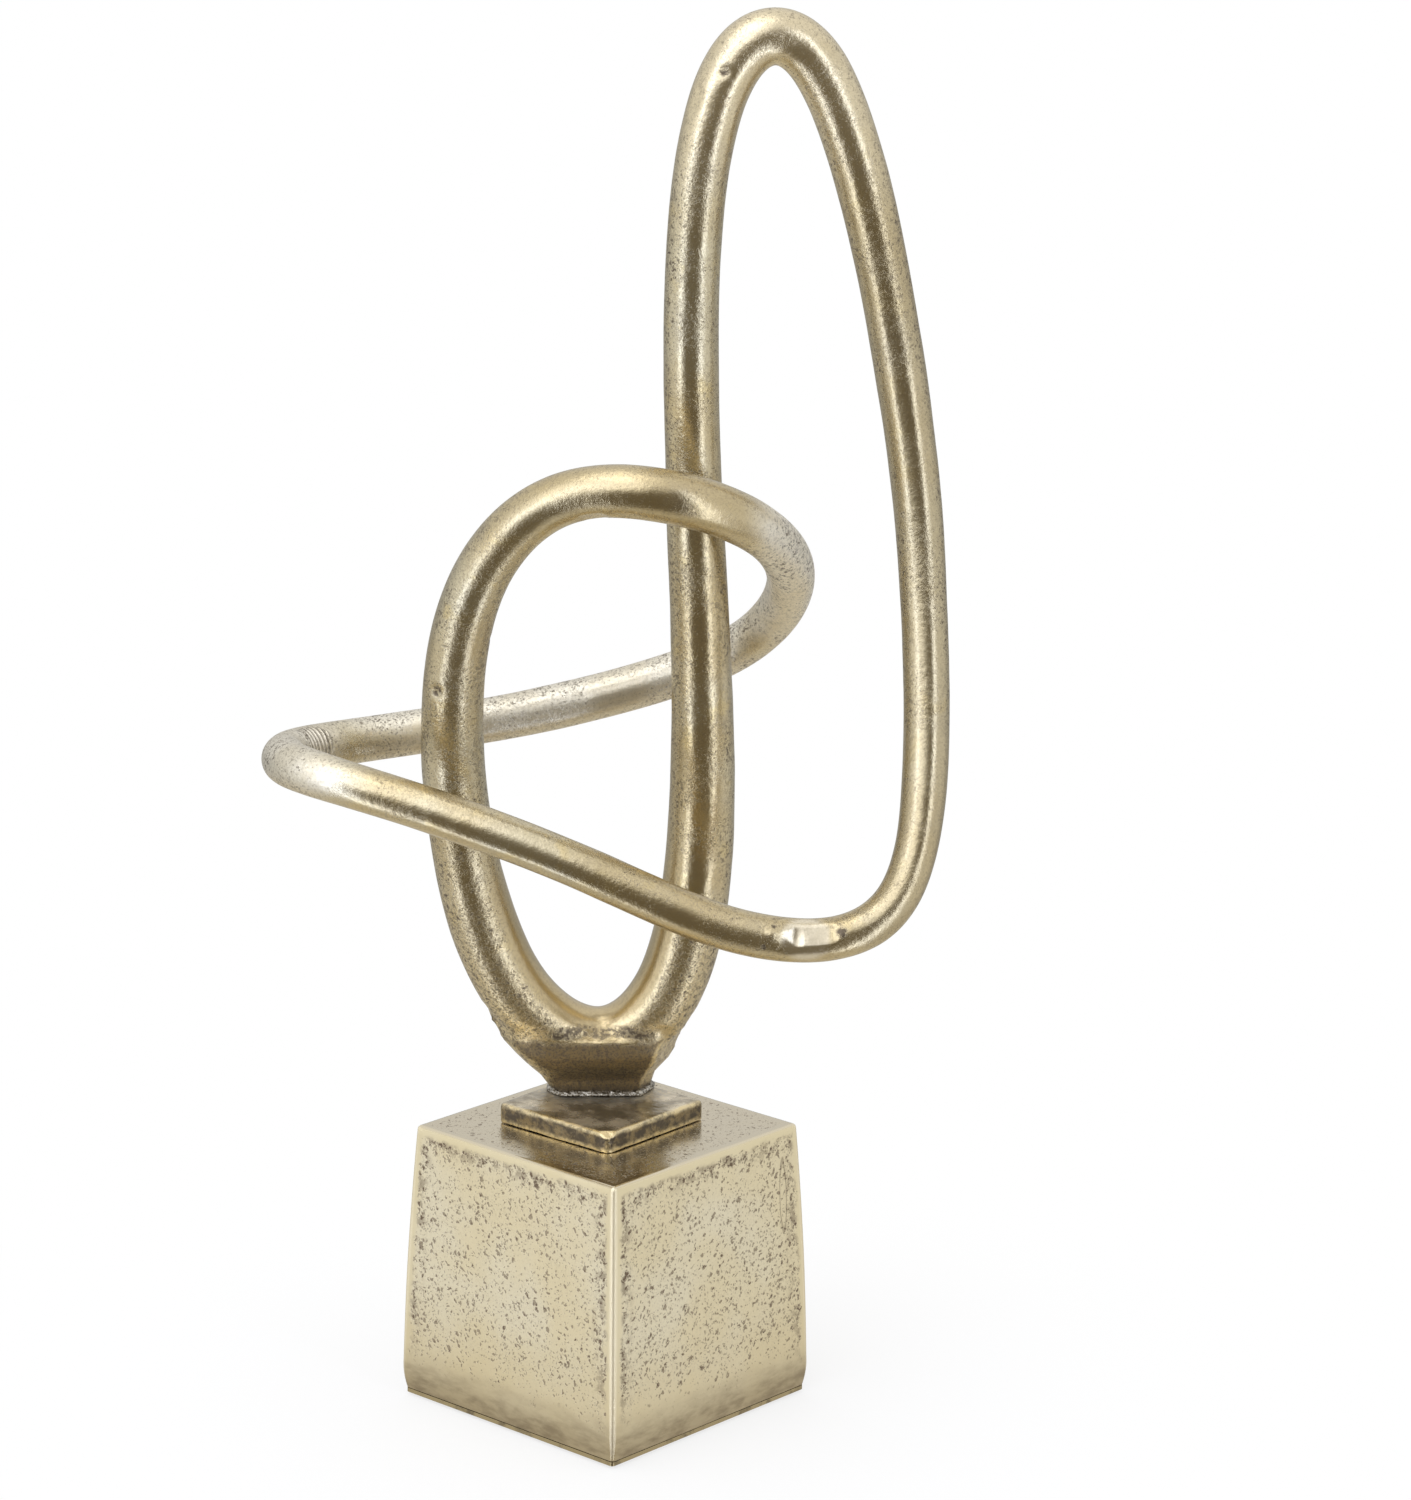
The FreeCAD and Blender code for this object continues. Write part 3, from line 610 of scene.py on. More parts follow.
grinds = (
    (0.1590, 0.1810, 0.00, 1.00, 0.05, 0.0003),
    (0.1620, 0.1735, 0.00, 0.45, -0.90, 0.0009),
    (0.1735, 0.1830, 0.00, 0.62, -0.80, 0.0004),
    (0.3860, 0.3875, 0.05, 0.78, 0.62, 0.0007),
    (0.3880, 0.3893, 0.00, 0.70, 0.70, 0.0006),
    (0.3898, 0.3911, -0.05, 0.78, 0.62, 0.0007),
    (0.5420, 0.5580, -0.20, 0.86, 0.47, 0.0011),
    (0.7960, 0.8040, -0.70, 0.62, 0.30, 0.0004),
)


def bar_skin(place):
    """how far the hand-filed skin lies off a true round bar"""
    return sum(depth * noise.noise(place / size) for size, depth in bar_waves)


def worked_skin(place, share, middle, radius):
    """a place on the skin after the dents and the grinding"""
    for start, end, across, front, up, depth in grinds:
        if start < share < end:
            fade = min(1.0, 5 * (share - start) / (end - start), 5 * (end - share) / (end - start))
            facing = seen(across, front, up).normalized()
            over = (place - middle).dot(facing) - (radius - depth * fade)
            if over > 0:
                place = place - facing * over
    for at, across, front, up, reach, depth in dents:
        if abs(share - at) < dent_span:
            facing = seen(across, front, up).normalized()
            spot = knot_at(at)[0] + facing * radius
            near = max(0.0, 1 - ((place - spot).length / reach)**2)
            place = place - facing * depth * near**2
    return place


def extruded(mesh, edges):
    """draws a row of edges out into a strip, whose new vertices and edges it gives"""
    made = bmesh.ops.extrude_edge_only(mesh, edges=edges)["geom"]
    row = [item for item in made if isinstance(item, bmesh.types.BMVert)]
    return row, [item for item in made if isinstance(item, bmesh.types.BMEdge)
                 and item.verts[0] in row and item.verts[1] in row]


def cast_bar(start, end):
    """the skin of one casting, or of one weld, from share to share of the way round"""
    length = sum((knot_at(start + (end - start) * (i + 1) / 50)[0]
                  - knot_at(start + (end - start) * i / 50)[0]).length for i in range(50))
    steps = max(4, round(length / ring_step))
    bar = bmesh.new()
    middle, radius = knot_at(start)
    way = heading(start)
    turn = way.to_track_quat("Z", "Y").to_matrix()
    bmesh.ops.create_circle(bar, segments=ring_sides, radius=radius,
                            matrix=Matrix.Translation(middle) @ turn.to_4x4())
    ring, edges = bar.verts[:], bar.edges[:]
    rings = [(ring, start, middle, radius)]
    for step in range(1, steps + 1):
        share = start + (end - start) * step / steps
        there, wide = knot_at(share)
        ahead = heading(share)
        move = (Matrix.Translation(there) @ way.rotation_difference(ahead).to_matrix().to_4x4()
                @ Matrix.Scale(wide / radius, 4) @ Matrix.Translation(-middle))
        ring, edges = extruded(bar, edges)
        bmesh.ops.transform(bar, matrix=move, verts=ring)
        middle, radius, way = there, wide, ahead
        rings.append((ring, share, middle, radius))
    for ring, share, middle, radius in rings:
        for vertex in ring:
            outwards = (vertex.co - middle).normalized()
            place = middle + outwards * (radius + bar_skin(vertex.co))
            place = worked_skin(place, share % 1.0, middle, radius)
            vertex.co = [min(max(value, low), high) for value, low, high in zip(place, *cad_box)]
    shaded(bar)
    open_edges = [edge for edge in bar.edges if edge.is_boundary]
    bmesh.ops.holes_fill(bar, edges=open_edges, sides=0)
    for edge in open_edges:
        edge.smooth = False
    bmesh.ops.recalc_face_normals(bar, faces=bar.faces)
    return bar


neck_frame = Matrix.Translation(seat) @ knot_turn.to_4x4()
neck_cell = 0.0012
neck_corners = (
    (-0.0172, -0.0070, 0.0071),
    (0.0124, -0.0070, 0.0012),
    (0.0173, 0.0010, 0.0025),
    (0.0173, 0.0073, 0.0060),
    (-0.0172, 0.0073, 0.0071),
)
neck_levels = (
    (0.0000, 1.000, 1.000, 0.0003, 0.0132),
    (0.0061, 1.180, 1.154, -0.0009, 0.0125),
    (0.0090, 1.335, 1.336, -0.0012, 0.0115),
    (0.0120, 1.485, 1.545, -0.0014, 0.0102),
    (0.0160, 1.650, 1.734, -0.0022, 0.0093),
    (0.0208, 1.820, 1.810, -0.0033, 0.0090),
    (0.0228, 1.890, 1.800, -0.0036, 0.0089),
    (0.0255, 1.965, 1.250, -0.0037, 0.0090),
    (0.0275, 2.030, 0.750, -0.0039, 0.0085),
    (0.0315, 2.130, 0.450, -0.0040, 0.0070),
)
neck_foot = Vector((neck_levels[0][3], neck_levels[0][4], 0))
neck_full_level = neck_levels[5][0]
neck_shelf = 0.0270
shelf_half = 0.020
shelf_turn = 0.012
shelf_least = 0.08
shelf_from = 0.018
shelf_lump = 0.007
shelf_wave = 0.0009
rear_share = 0.09
wing_share = 0.64
most_share = 0.6
wing_half = 0.031

# The crease between neck and bars: how far from it the metal is eased and how many times,
# first all round, then again past the middle. Heights are over the plate.
front_crease = (0.0040, 11)
side_crease = (0.0048, 24)
crease_middle = -0.0030
crease_half = 0.0175
crease_levels = (0.010, 0.035)
eased_levels = (0.003, 0.045)


def neck_outline(cell):
    """the neck's outline on the plate as one flat face, crisp at the right end of its front"""
    outline = bmesh.new()
    corners = [outline.verts.new((across, back, 0)) for across, back, reach in neck_corners]
    outline.faces.new(corners)
    for corner, (across, back, reach) in zip(corners, neck_corners):
        bmesh.ops.bevel(outline, geom=[corner], offset=reach, segments=6, affect="VERTICES",
                        profile=0.5, material=-1, clamp_overlap=True)
    for edge in outline.edges[:]:
        cuts = round(edge.calc_length() / cell) - 1
        if cuts > 0:
            bmesh.ops.subdivide_edges(outline, edges=[edge], cuts=cuts)
    return outline


def neck_casting():
    """the neck, from the plate up into the two bars"""
    neck = neck_outline(neck_cell)
    foot = neck.faces[:][0]
    shape = [vertex.co.copy() for vertex in foot.verts]
    top = foot
    for low, high in zip(neck_levels, neck_levels[1:]):
        steps = round((high[0] - low[0]) / neck_cell)
        for step in range(1, steps + 1):
            made = bmesh.ops.extrude_face_region(neck, geom=[top])["geom"]
            if top is not foot:
                bmesh.ops.delete(neck, geom=[top], context="FACES_ONLY")
            top = [item for item in made if isinstance(item, bmesh.types.BMFace)][0]
            rise, wide, deep, across, back = (a + (b - a) * step / steps for a, b in zip(low, high))
            for vertex, spot in zip(top.verts, shape):
                aside = min(1.0, max(shelf_least, (abs(spot.x * wide) - shelf_half) / shelf_turn))
                uneven = 0.0
                if rise > shelf_from:
                    uneven = shelf_wave * noise.noise(Vector((spot.x * wide / shelf_lump, 0, 0)))
                drawn_in = 0.0
                if spot.y > 0:
                    drawn_in = min(most_share, rear_share + wing_share * (spot.x * wide / wing_half)**2)
                    drawn_in *= min(1.0, rise / neck_full_level)
                vertex.co = Vector((spot.x * wide + across, spot.y * deep * (1 - drawn_in) + back, uneven
                                    + min(rise, neck_shelf + (rise - neck_shelf) * aside)))
    for vertex in foot.verts:
        vertex.co += neck_foot
    bmesh.ops.recalc_face_normals(neck, faces=neck.faces)
    bmesh.ops.transform(neck, matrix=neck_frame, verts=neck.verts)
    return neck


def joined(mesh, other):
    """one skin round two forms that run into each other, with the crease between them eased"""
    forms = []
    for form in (mesh, other):
        data = bpy.data.meshes.new("form")
        form.to_mesh(data)
        form.free()
        forms.append(bpy.data.objects.new("form", data))
        bpy.context.collection.objects.link(forms[-1])
    union = forms[0].modifiers.new("union", "BOOLEAN")
    union.operation = "UNION"
    union.solver = "EXACT"
    union.object = forms[1]
    graph = bpy.context.evaluated_depsgraph_get()
    data = bpy.data.meshes.new_from_object(forms[0].evaluated_get(graph))
    one = bmesh.new()
    one.from_mesh(data)
    for form in forms:
        form_data = form.data
        bpy.data.objects.remove(form)
        bpy.data.meshes.remove(form_data)
    bpy.data.meshes.remove(data)
    bmesh.ops.remove_doubles(one, verts=one.verts, dist=0.00005)
    one.verts.ensure_lookup_table()
    creases = kdtree.KDTree(len(one.verts))
    for edge in one.edges:
        rise = (edge.verts[0].co - seat).z
        if (crease_levels[0] < rise < crease_levels[1]
                and edge.calc_face_angle_signed(0) < -math.radians(10)):
            creases.insert(edge.verts[0].co, edge.verts[0].index)
    creases.balance()
    to_neck = neck_frame.inverted()
    for (reach, turns), at_side in ((front_crease, False), (side_crease, True)):
        near = [vertex for vertex in one.verts
                if eased_levels[0] < (vertex.co - seat).z < eased_levels[1]
                and (not at_side or abs((to_neck @ vertex.co).x - crease_middle) > crease_half)
                and (creases.find(vertex.co)[2] or 1.0) < reach]
        for turn in range(turns):
            bmesh.ops.smooth_vert(one, verts=near, factor=0.5, use_axis_x=True, use_axis_y=True,
                                  use_axis_z=True)
    shaded(one)
    for edge in one.edges:
        edge.smooth = edge.calc_face_angle(0) < sharp_angle
    return one


half_gap = weld_gap / 2
fork_start = moved_along(crown_weld_share, half_gap)
fork_end = moved_along(1 + side_weld_share, -half_gap)
fork = joined(cast_bar(fork_start, fork_end), neck_casting())

bar_gold = (0.555, 0.455, 0.27)
bar_pale = (0.62, 0.55, 0.385)
bar_grey = (0.45, 0.405, 0.31)
bar_yellow = (0.66, 0.53, 0.27)
tall_gold = (0.48, 0.40, 0.25)
bar_painted_sheen = (0.82, 0.77, 0.65)
crown_gold = (0.76, 0.66, 0.46)
foot_gold = (0.68, 0.56, 0.34)
inner_shade_gold = (0.48, 0.38, 0.21)
bar_pit = (0.145, 0.115, 0.08)
facet_shade_brown = (0.22, 0.16, 0.08)
edge_highlight_gold = (0.84, 0.69, 0.40)
sand_size = 0.0017
fine_size = 0.0008
grain_apart = 0.0010
hole_apart = 0.0019
bump_size = 0.0013
skin_depth = 0.00014
ripple_size = 0.005
ripple_depth = 0.00008
broad_cloud = 0.045
grey_cloud = 0.018
yellow_cloud = 0.011
silver_cloud = 0.02
sandy_cloud = 0.020
file_marks = 0.0018

# Where the tones change, in metres across, back and up from the neck's foot. Each limit is
# the range in which one tone goes over into the next.
low_down_fade = (0.030, 0.110)
inner_fade = (0.060, 0.110)
ring_middle = (-0.006, -0.006, 0.090)
crown_fade = (0.300, 0.360)
rear_fade = (0.014, 0.030)
front_fade = (-0.040, -0.022)
left_bend_fade = (-0.100, -0.080)
right_bend_across = ((0.043, 0.056), (0.080, 0.088))
right_bend_up = ((0.150, 0.168), (0.219, 0.230))
tall_across = (0.080, 0.095)
tall_up = (0.28, 0.33)
facet_top = (0.0205, 0.0230)
groove_up = 0.0252
groove_fade = (0.0006, 0.0026)
groove_half = (0.014, 0.020)
rim_up = 0.0228
rim_fade = (0.0004, 0.0012)
rim_middle = -0.004
rim_half = (0.012, 0.018)
ridge_up = ((0.003, 0.006), (0.020, 0.023))
ridge_fade = (0.0003, 0.0012)
ridge_foot = 0.0127
ridge_lean = 0.346
foot_shade_fade = (0.0018, 0.0045)
wander_size = 0.006
wander_reach = 0.002

# Marks, each with its share of the way round, the side that it faces and its reach.
dark_spots = (
    (0.1018, -0.52, 0.82, 0.22, 0.0024),
    (0.1145, 0.99, 0.10, -0.20, 0.0016),
    (0.2193, -0.43, 0.81, -0.46, 0.0010),
    (0.7903, -0.18, 0.96, 0.20, 0.0022),
    (0.5585, -0.15, 0.88, 0.42, 0.0024),
    (0.5388, -0.20, 0.97, -0.15, 0.0012),
    (0.5412, -0.20, 0.68, 0.72, 0.0013),
)
dish_spot = (0.5490, -0.20, 0.90, 0.40, 0.0095)
filed_spot = (0.3905, 0.10, 0.85, 0.45, 0.0060)
filed_fade = (0.0055, 0.0080)
weld_bright = (0.90, 0.83, 0.69)

polished = Finish("hand polished brass")
across, back, up = polished.axes(polished.framed(polished.place, seat, (0, 0, knot_angle)))
skin_facing = polished.node("NewGeometry", output="Normal")
forward = polished.measure("DOT_PRODUCT", skin_facing, seen(0, 1, 0))
turned_away = polished.fall(abs(forward), 0.50, 0.92)
underside_reflection = polished.fall(polished.axes(skin_facing)[2], -0.75, -0.25)
wander = polished.stray(wander_size, wander_reach)
low_down = polished.fall(up, *low_down_fade)
rear = polished.rise(back, *rear_fade)
in_front = polished.fall(back, *front_fade)
left_bend = polished.fall(across, *left_bend_fade)
right_bend = polished.between(across, *right_bend_across) * polished.between(up, *right_bend_up)
crown = polished.rise(up, *crown_fade)
tall = polished.rise(across, *tall_across) * polished.fall(up, *tall_up)
pale_part = rear.most(right_bend).most(left_bend)
to_ring = polished.node("VectorMath", {"operation": "SUBTRACT"},
                        {0: seat + seen(*ring_middle), 1: polished.place})
to_ring = polished.node("VectorMath", {"operation": "NORMALIZE"}, {0: to_ring})
inner = polished.rise(polished.measure("DOT_PRODUCT", skin_facing, to_ring), 0.0, 0.3)
inner = inner * polished.fall(up, *inner_fade)

# The neck's front: a ground facet painted dark brown as painted shade, the rim and the ridge that end it
# with a painted highlight, and a groove.
facet = polished.fall(up + wander, *facet_top) * polished.rise(forward, 0.60, 0.80)
groove = polished.fall(abs(up + wander - groove_up), *groove_fade) * polished.rise(forward, 0.2, 0.6)
groove = groove * polished.fall(abs(across), *groove_half)
ridge = polished.fall(abs(across + wander * 0.3 - up * ridge_lean - ridge_foot), *ridge_fade)
ridge = ridge * polished.between(up, *ridge_up)
rim = polished.fall(abs(up + wander - rim_up), *rim_fade)
rim = rim * polished.fall(abs(across - rim_middle), *rim_half)
# painted highlight along the ridge and the rim of the neck's front
edge_highlight = (ridge + rim * 0.5) * polished.rise(forward, 0.2, 0.5)

# The tones of the metal, with painted sheen, reflection and shade among them, from the broadest to the most
# local.
tone = polished.tint(polished.rise(polished.mottle(broad_cloud), 0.35, 0.65), bar_gold, bar_pale)
tone = polished.tint(polished.rise(polished.mottle(grey_cloud, 3.0), 0.55, 0.75) * 0.4, tone, bar_grey)
yellow = polished.rise(polished.mottle(yellow_cloud, 3.0, 0.6), 0.54, 0.70)
tone = polished.tint(yellow * 0.55, tone, bar_yellow)
tone = polished.tint(low_down * 0.7, tone, foot_gold)
pale_cloud = polished.rise(polished.mottle(silver_cloud, 3.0), 0.3, 0.6) * 0.4 + 0.6
tone = polished.tint(crown * pale_cloud, tone, crown_gold)
# painted sheen: the rear bar and both bends turn silvery, for the bright room they mirror
tone = polished.tint(pale_part * pale_cloud, tone, bar_painted_sheen)
tone = polished.tint(tall * 0.6, tone, tall_gold)
# painted reflection: surfaces that face down turn yellower, for the warm table they mirror
tone = polished.tint(underside_reflection * 0.45, tone, bar_yellow)
# painted shade: the inner sides of the fork, facing each other, turn a darker gold
tone = polished.tint(inner * 0.5, tone, inner_shade_gold)

# The sandy casting skin, left where the file didn't reach, with its grains and small holes.
patchy = polished.rise(polished.mottle(sandy_cloud, 4.0, 0.6) + low_down * 0.12, 0.38, 0.62)
sandy = (patchy * 0.48 + turned_away * 0.45 + 0.20).least(1.0)
sandy = sandy * (1 - inner * 0.85) * (1 - crown * 0.35) * (1 - in_front * 0.45)
sand = polished.mottle(sand_size, 5.0, 0.72)
fine = polished.mottle(fine_size, 5.0, 0.75)
rough_patch = polished.rise(sand + low_down * 0.04 + groove * 0.20, 0.52, 0.66) * sandy * 0.55
grains = pitted(polished, grain_apart, sandy) * (sandy * 0.62 + 0.08)
holes = pitted(polished, hole_apart, sandy) * (sandy * 0.5 + low_down * 0.2) * (1 - inner * 0.85)
specks = polished.rise(fine, 0.45, 0.64) * (sandy * 0.32 + 0.12)


def from_mark(share, across, front, up):
    """how far a place on the bars is from the middle of a mark on their skin"""
    middle, radius = knot_at(share)
    spot = middle + seen(across, front, up).normalized() * radius
    return polished.measure("DISTANCE", polished.place, spot)


# painted shade: the neck turns towards the pit colour in its last few millimetres over the plate
spots_and_shade = polished.fall(up, *foot_shade_fade) * 0.6
spots_and_shade = spots_and_shade + facet * specks * 2.6 + groove * polished.rise(sand, 0.44, 0.56) * 0.75
spot_grain = polished.rise(sand, 0.38, 0.52)
for *mark, reach in dark_spots:
    spots_and_shade = spots_and_shade.most(polished.fall(from_mark(*mark) + wander * 0.5, reach * 0.4, reach) * spot_grain)
from_dish = from_mark(*dish_spot[:4])
from_filed = from_mark(*filed_spot[:4])
dressed = polished.fall(from_dish + wander * 0.5, dish_spot[4] * 0.7, dish_spot[4])
dressed = dressed.most(polished.fall(from_filed + wander * 0.5, filed_spot[4] * 0.7, filed_spot[4]))
along = polished.measure("DOT_PRODUCT", polished.place, heading(filed_spot[0]))
along = (along + wander * 0.25) * (2 * math.pi / file_marks)
filed = polished.rise(along.worked("SINE", along), -0.6, 0.8) * polished.fall(from_filed, *filed_fade)
dirt_and_shade = (rough_patch + grains + holes + specks) * (1 - edge_highlight * 0.7) * (1 - dressed * 0.7)
dirt_and_shade = (dirt_and_shade + spots_and_shade + filed * 0.5).least(1.0)
tone = polished.tint(dressed * 0.6, tone, weld_bright)
# painted shade: the ground facet takes a dark brown
tone = polished.tint(facet * 0.85, tone, facet_shade_brown)
# painted highlight: a bright gold line along the neck's ridge and rim
tone = polished.tint(edge_highlight.least(1.0) * 0.8, tone, edge_highlight_gold)
bumps = polished.mottle(bump_size, 2.5, 0.6) * (sandy * 0.9 + 0.12)
skin = (bumps * 1.5 + fine * (sandy * 0.8 + facet * 0.8 + 0.20)) * (1 - dressed * 0.8)
skin = skin + (1 - dirt_and_shade) * 0.5 + filed * 4.0
polished.shows(base_color=polished.tint(dirt_and_shade, tone, bar_pit),
               metallic=1 - dirt_and_shade * 0.15 - right_bend * 0.55 - rear * (1 - left_bend) * 0.2,
               roughness=0.19 + sandy * 0.06 + dirt_and_shade * 0.16 + facet * 0.06 + pale_part * 0.09 + crown * 0.02,
               normal=polished.relief(skin, skin_depth,
                                      polished.relief(polished.mottle(ripple_size, 3.0), ripple_depth)))
finished("fork_bars", fork, polished, "foot_fork")

# Neck weld: a bead of weld metal, laid all round the neck's foot on the plate. It is left
# as it was laid, silvery and grainy, where the rest is filed and aged.
bead_across = 0.0345
bead_deep = 0.0143
bead_wide = 0.0019
bead_high = 0.0018
bead_root = 0.0004
bead_cell = 0.0005
bead_lump = 0.0020
bead_swell = 0.00055
bead_steps = 9

bead = neck_outline(bead_cell)
bmesh.ops.delete(bead, geom=bead.faces[:], context="FACES_ONLY")
arc = [math.pi / 2 * step / bead_steps for step in range(bead_steps + 1)]
profile = [(bead_wide * math.cos(turn), bead_high * math.sin(turn)) for turn in arc]
profile += [(-bead_root, bead_high), (-bead_root, 0.0), (bead_wide, 0.0)]
row, ring, grown, risen = bead.verts[:], bead.edges[:], 0.0, 0.0
for step, (grow, rise) in enumerate(profile):
    if step:
        row, ring = extruded(bead, ring)
    bmesh.ops.scale(bead, vec=((bead_across + 2 * grow) / (bead_across + 2 * grown),
                               (bead_deep + 2 * grow) / (bead_deep + 2 * grown), 1), verts=row)
    bmesh.ops.translate(bead, vec=(0, 0, rise - risen), verts=row)
    grown, risen = grow, rise
bmesh.ops.remove_doubles(bead, verts=bead.verts, dist=0.00002)
bmesh.ops.recalc_face_normals(bead, faces=bead.faces)
bead.normal_update()
for vertex in bead.verts:
    if vertex.co.z > 0.0001:
        lump = noise.noise(vertex.co / bead_lump) + 0.5 * noise.noise(vertex.co * 2.3 / bead_lump)
        vertex.co += vertex.normal * bead_swell * lump
    vertex.co += neck_foot
bmesh.ops.transform(bead, matrix=neck_frame, verts=bead.verts)
shaded(bead)

bead_bright = (0.56, 0.53, 0.465)
bead_dark = (0.13, 0.11, 0.08)
bead_grain = 0.0007
laid = Finish("weld as laid")
grain = laid.mottle(bead_grain, 3.0, 0.65)
laid.shows(base_color=laid.tint(laid.rise(grain, 0.42, 0.60), bead_dark, bead_bright), metallic=1.0,
           roughness=0.24 + grain * 0.2, normal=laid.relief(grain, bead_grain / 3))
finished("neck_weld_lay", bead, laid, "neck_weld_bead")

# Left shoulder, rear, front and tall bars: four more castings of the same round bar. Each
# is bent and filed by hand until its ends meet the next ones.
for name, start, end in (
    ("left_shoulder_bar", side_weld_share, arch_weld_share),
    ("rear_bar", arch_weld_share, left_bend_weld_share),
    ("front_bar", left_bend_weld_share, lower_right_weld_share),
    ("tall_bar", lower_right_weld_share, crown_weld_share),
):
    bar = cast_bar(moved_along(start, half_gap), moved_along(end, -half_gap))
    finished(name + "_skin", bar, polished, name)

# Welds: each joint of the loop is filled with weld metal and ground flush with the bars,
# which leaves a slightly brighter and smoother ring; here the rings take the bars' own finish.
for name, share in (
    ("side_weld", side_weld_share),
    ("arch_weld", arch_weld_share),
    ("left_bend_weld", left_bend_weld_share),
    ("lower_right_weld", lower_right_weld_share),
    ("crown_weld", crown_weld_share),
):
    weld = cast_bar(moved_along(share, -half_gap), moved_along(share, half_gap))
    finished(name + "_ring", weld, polished, name)

# Table: a plain pale surface that takes the block's soft shadow. It can be looked through
# from below, so that the felt shows there.
floor_reach = 1.2
floor_gap = 0.0001
floor_pale = (0.86, 0.86, 0.86, 1)
white_fade = (0.07, 0.27)
table = bmesh.new()
bmesh.ops.create_circle(table, cap_ends=True, segments=96, radius=floor_reach,
                        matrix=Matrix.Translation((0, 0, -floor_gap)))
table_data = bpy.data.meshes.new("table")
table.to_mesh(table_data)
table.free()
floor = bpy.data.objects.new("table", table_data)
bpy.context.collection.objects.link(floor)
floor.visible_glossy = False
paper = Finish("pale table")
paper.shows(base_color=floor_pale, roughness=0.9)
glow = paper.node("Emission", None, {"Color": (1, 1, 1, 1), "Strength": 1.0})
far_off = paper.rise(paper.measure("LENGTH", paper.place), *white_fade)
lit = paper.node("LightPath", output="Is Camera Ray") * (far_off * 0.25 + 0.75)
upper = paper.node("MixShader", None, {0: lit, 1: Value(paper.surface.outputs[0]), 2: glow})
sheet = paper.node("MixShader", None, {0: paper.node("NewGeometry", output="Backfacing"), 1: upper,
                                       2: paper.node("BsdfTransparent")})
paper.feed(paper.tree.nodes["Material Output"].inputs["Surface"], sheet)
paper.covers(floor)

# Studio: a white room. What the metal mirrors is pale at the sides, under and over the
# object, with a tall bright strip on each side of the dark, warm gap that the camera stands in.
view_turn = math.radians(43.2)
wall_white = (0.90, 0.90, 0.89)
back_grey = (0.76, 0.76, 0.76)
ceiling_white = (1.00, 1.00, 1.00)
low_back_grey = (0.50, 0.50, 0.49)
front_bright = (1.25, 1.25, 1.26)
key_bright = (1.95, 2.0, 2.15)
key_facing = Vector((-0.42, 0.58, 0.70)).normalized()
under_white = (0.70, 0.67, 0.61)
gap_brown = (0.19, 0.162, 0.115)
strip_bright = (2.8, 3.02, 3.6)
room = bpy.data.worlds.new("studio")
bpy.context.scene.world = room
room.use_nodes = True


class Room(Finish):
    """the studio's node tree, with the same ways of adding nodes as a finish"""

    def __init__(self, world):
        self.tree = world.node_tree
        self.surface = self.tree.nodes["Background"]


studio = Room(room)
ray = studio.node("TexCoord", output="Generated")
ray_x, ray_y, ray_z = studio.axes(ray)
to_right = ray_x * math.cos(view_turn) + ray_y * math.sin(view_turn)
to_front = ray_x * math.sin(view_turn) - ray_y * math.cos(view_turn)
turn = to_right.worked("ARCTAN2", to_right, to_front) * (180 / math.pi)
level_part = studio.between(ray_z, (-0.90, -0.78), (0.55, 0.66))
over_gap = ray_z - turn * 0.010
low_part = studio.rise(ray_z, -0.97, -0.72) * studio.fall(over_gap, 0.20, 0.58)
gap = studio.between(turn, (-42.0, -37.0), (29.0, 35.0)) * low_part
high_front = studio.rise(over_gap, 0.40, 0.75) * studio.rise(to_front, 0.05, 0.35)
to_key = to_right * key_facing.x + to_front * key_facing.y + ray_z * key_facing.z
key = studio.rise(to_key, 0.84, 0.93)
behind = studio.rise(abs(turn), 95.0, 130.0)
low_behind = studio.rise(abs(turn), 100.0, 125.0) * studio.between(ray_z, (-0.85, -0.6), (-0.02, 0.16))
left_strip = studio.between(turn, (-55.0, -51.0), (-44.0, -41.0)) * level_part
right_strip = studio.between(turn, (35.0, 38.0), (44.0, 48.0)) * level_part
mirrored = studio.tint(behind, wall_white, back_grey)
mirrored = studio.tint(studio.rise(ray_z, 0.30, 0.75), mirrored, ceiling_white)
mirrored = studio.tint(high_front, mirrored, front_bright)
mirrored = studio.tint(low_behind, mirrored, low_back_grey)
mirrored = studio.tint(key, mirrored, key_bright)
mirrored = studio.tint(studio.fall(ray_z, -0.60, -0.28), mirrored, under_white)
mirrored = studio.tint(gap, mirrored, gap_brown)
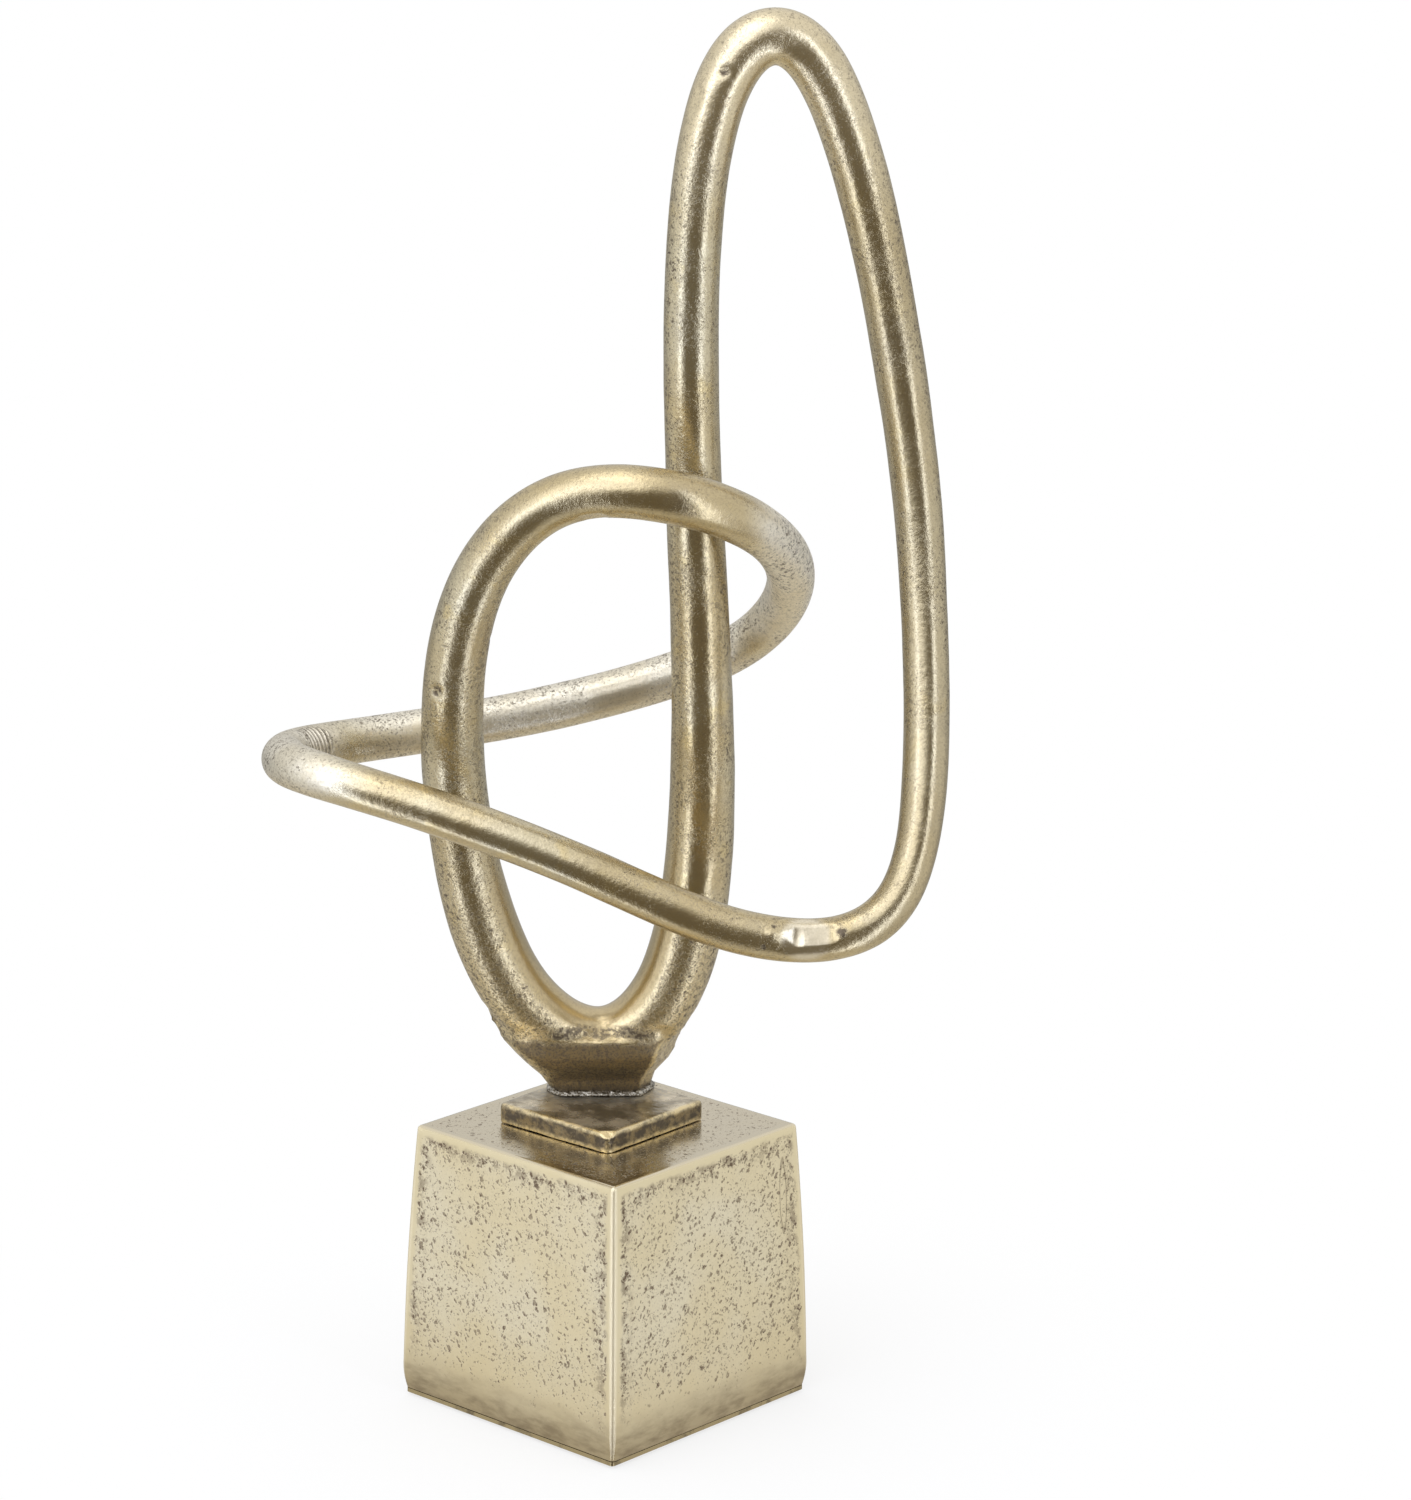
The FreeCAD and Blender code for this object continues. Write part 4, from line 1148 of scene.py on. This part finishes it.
mirrored = studio.tint(left_strip.most(right_strip), mirrored, strip_bright)
seen_by_camera = studio.node("LightPath", output="Is Camera Ray")
studio.feed(studio.surface.inputs["Color"], studio.tint(seen_by_camera, mirrored, (1.0, 1.0, 1.0)))
studio.surface.inputs["Strength"].default_value = 1.0

softbox_side = 0.9
softbox_away = 1.4
softbox_bright = 0.9
object_middle = Vector((0, 0, 0.25))
softbox = bpy.data.lights.new("top_softbox", "AREA")
softbox.shape = "SQUARE"
softbox.size = softbox_side
softbox.energy = softbox_bright * math.pi * softbox_side * softbox_side
lamp = bpy.data.objects.new("top_softbox", softbox)
lamp_way = seen(-0.2, 0.1, 1.0).normalized()
lamp.location = object_middle + lamp_way * softbox_away
lamp.rotation_euler = (lamp.location - object_middle).to_track_quat("Z", "Y").to_euler()
lamp.visible_camera = False
bpy.context.collection.objects.link(lamp)

# Camera: a long lens, a little above the object, at one corner of the block. Its focal
# length and the middle of its view are in pixels of the photograph.
photo_wide, photo_high = 1411, 1500
focal_pixels = 5290
view_across, view_down = 571.5, 738
camera_place = (1.19073, -1.28626, 0.70384)
yaw, pitch, roll = math.radians(-43.223), math.radians(14.830), math.radians(0.3307)
camera_data = bpy.data.cameras.new("camera")
camera_data.sensor_width = 36.0
camera_data.lens = focal_pixels / photo_high * camera_data.sensor_width
camera_data.shift_x = (photo_wide / 2 - view_across) / photo_high
camera_data.shift_y = (view_down - photo_high / 2) / photo_high
camera_data.clip_end = 20
camera = bpy.data.objects.new("camera", camera_data)
camera.location = camera_place
forward = Vector((math.sin(yaw) * math.cos(pitch), math.cos(yaw) * math.cos(pitch), -math.sin(pitch)))
right = Vector((math.cos(yaw), -math.sin(yaw), 0))
upright = right.cross(forward)
right, upright = (right * math.cos(roll) + upright * math.sin(roll),
                  upright * math.cos(roll) - right * math.sin(roll))
camera.rotation_euler = Matrix((right, upright, -forward)).transposed().to_euler()
bpy.context.collection.objects.link(camera)
bpy.context.scene.camera = camera

bpy.context.scene.view_settings.view_transform = "Standard"
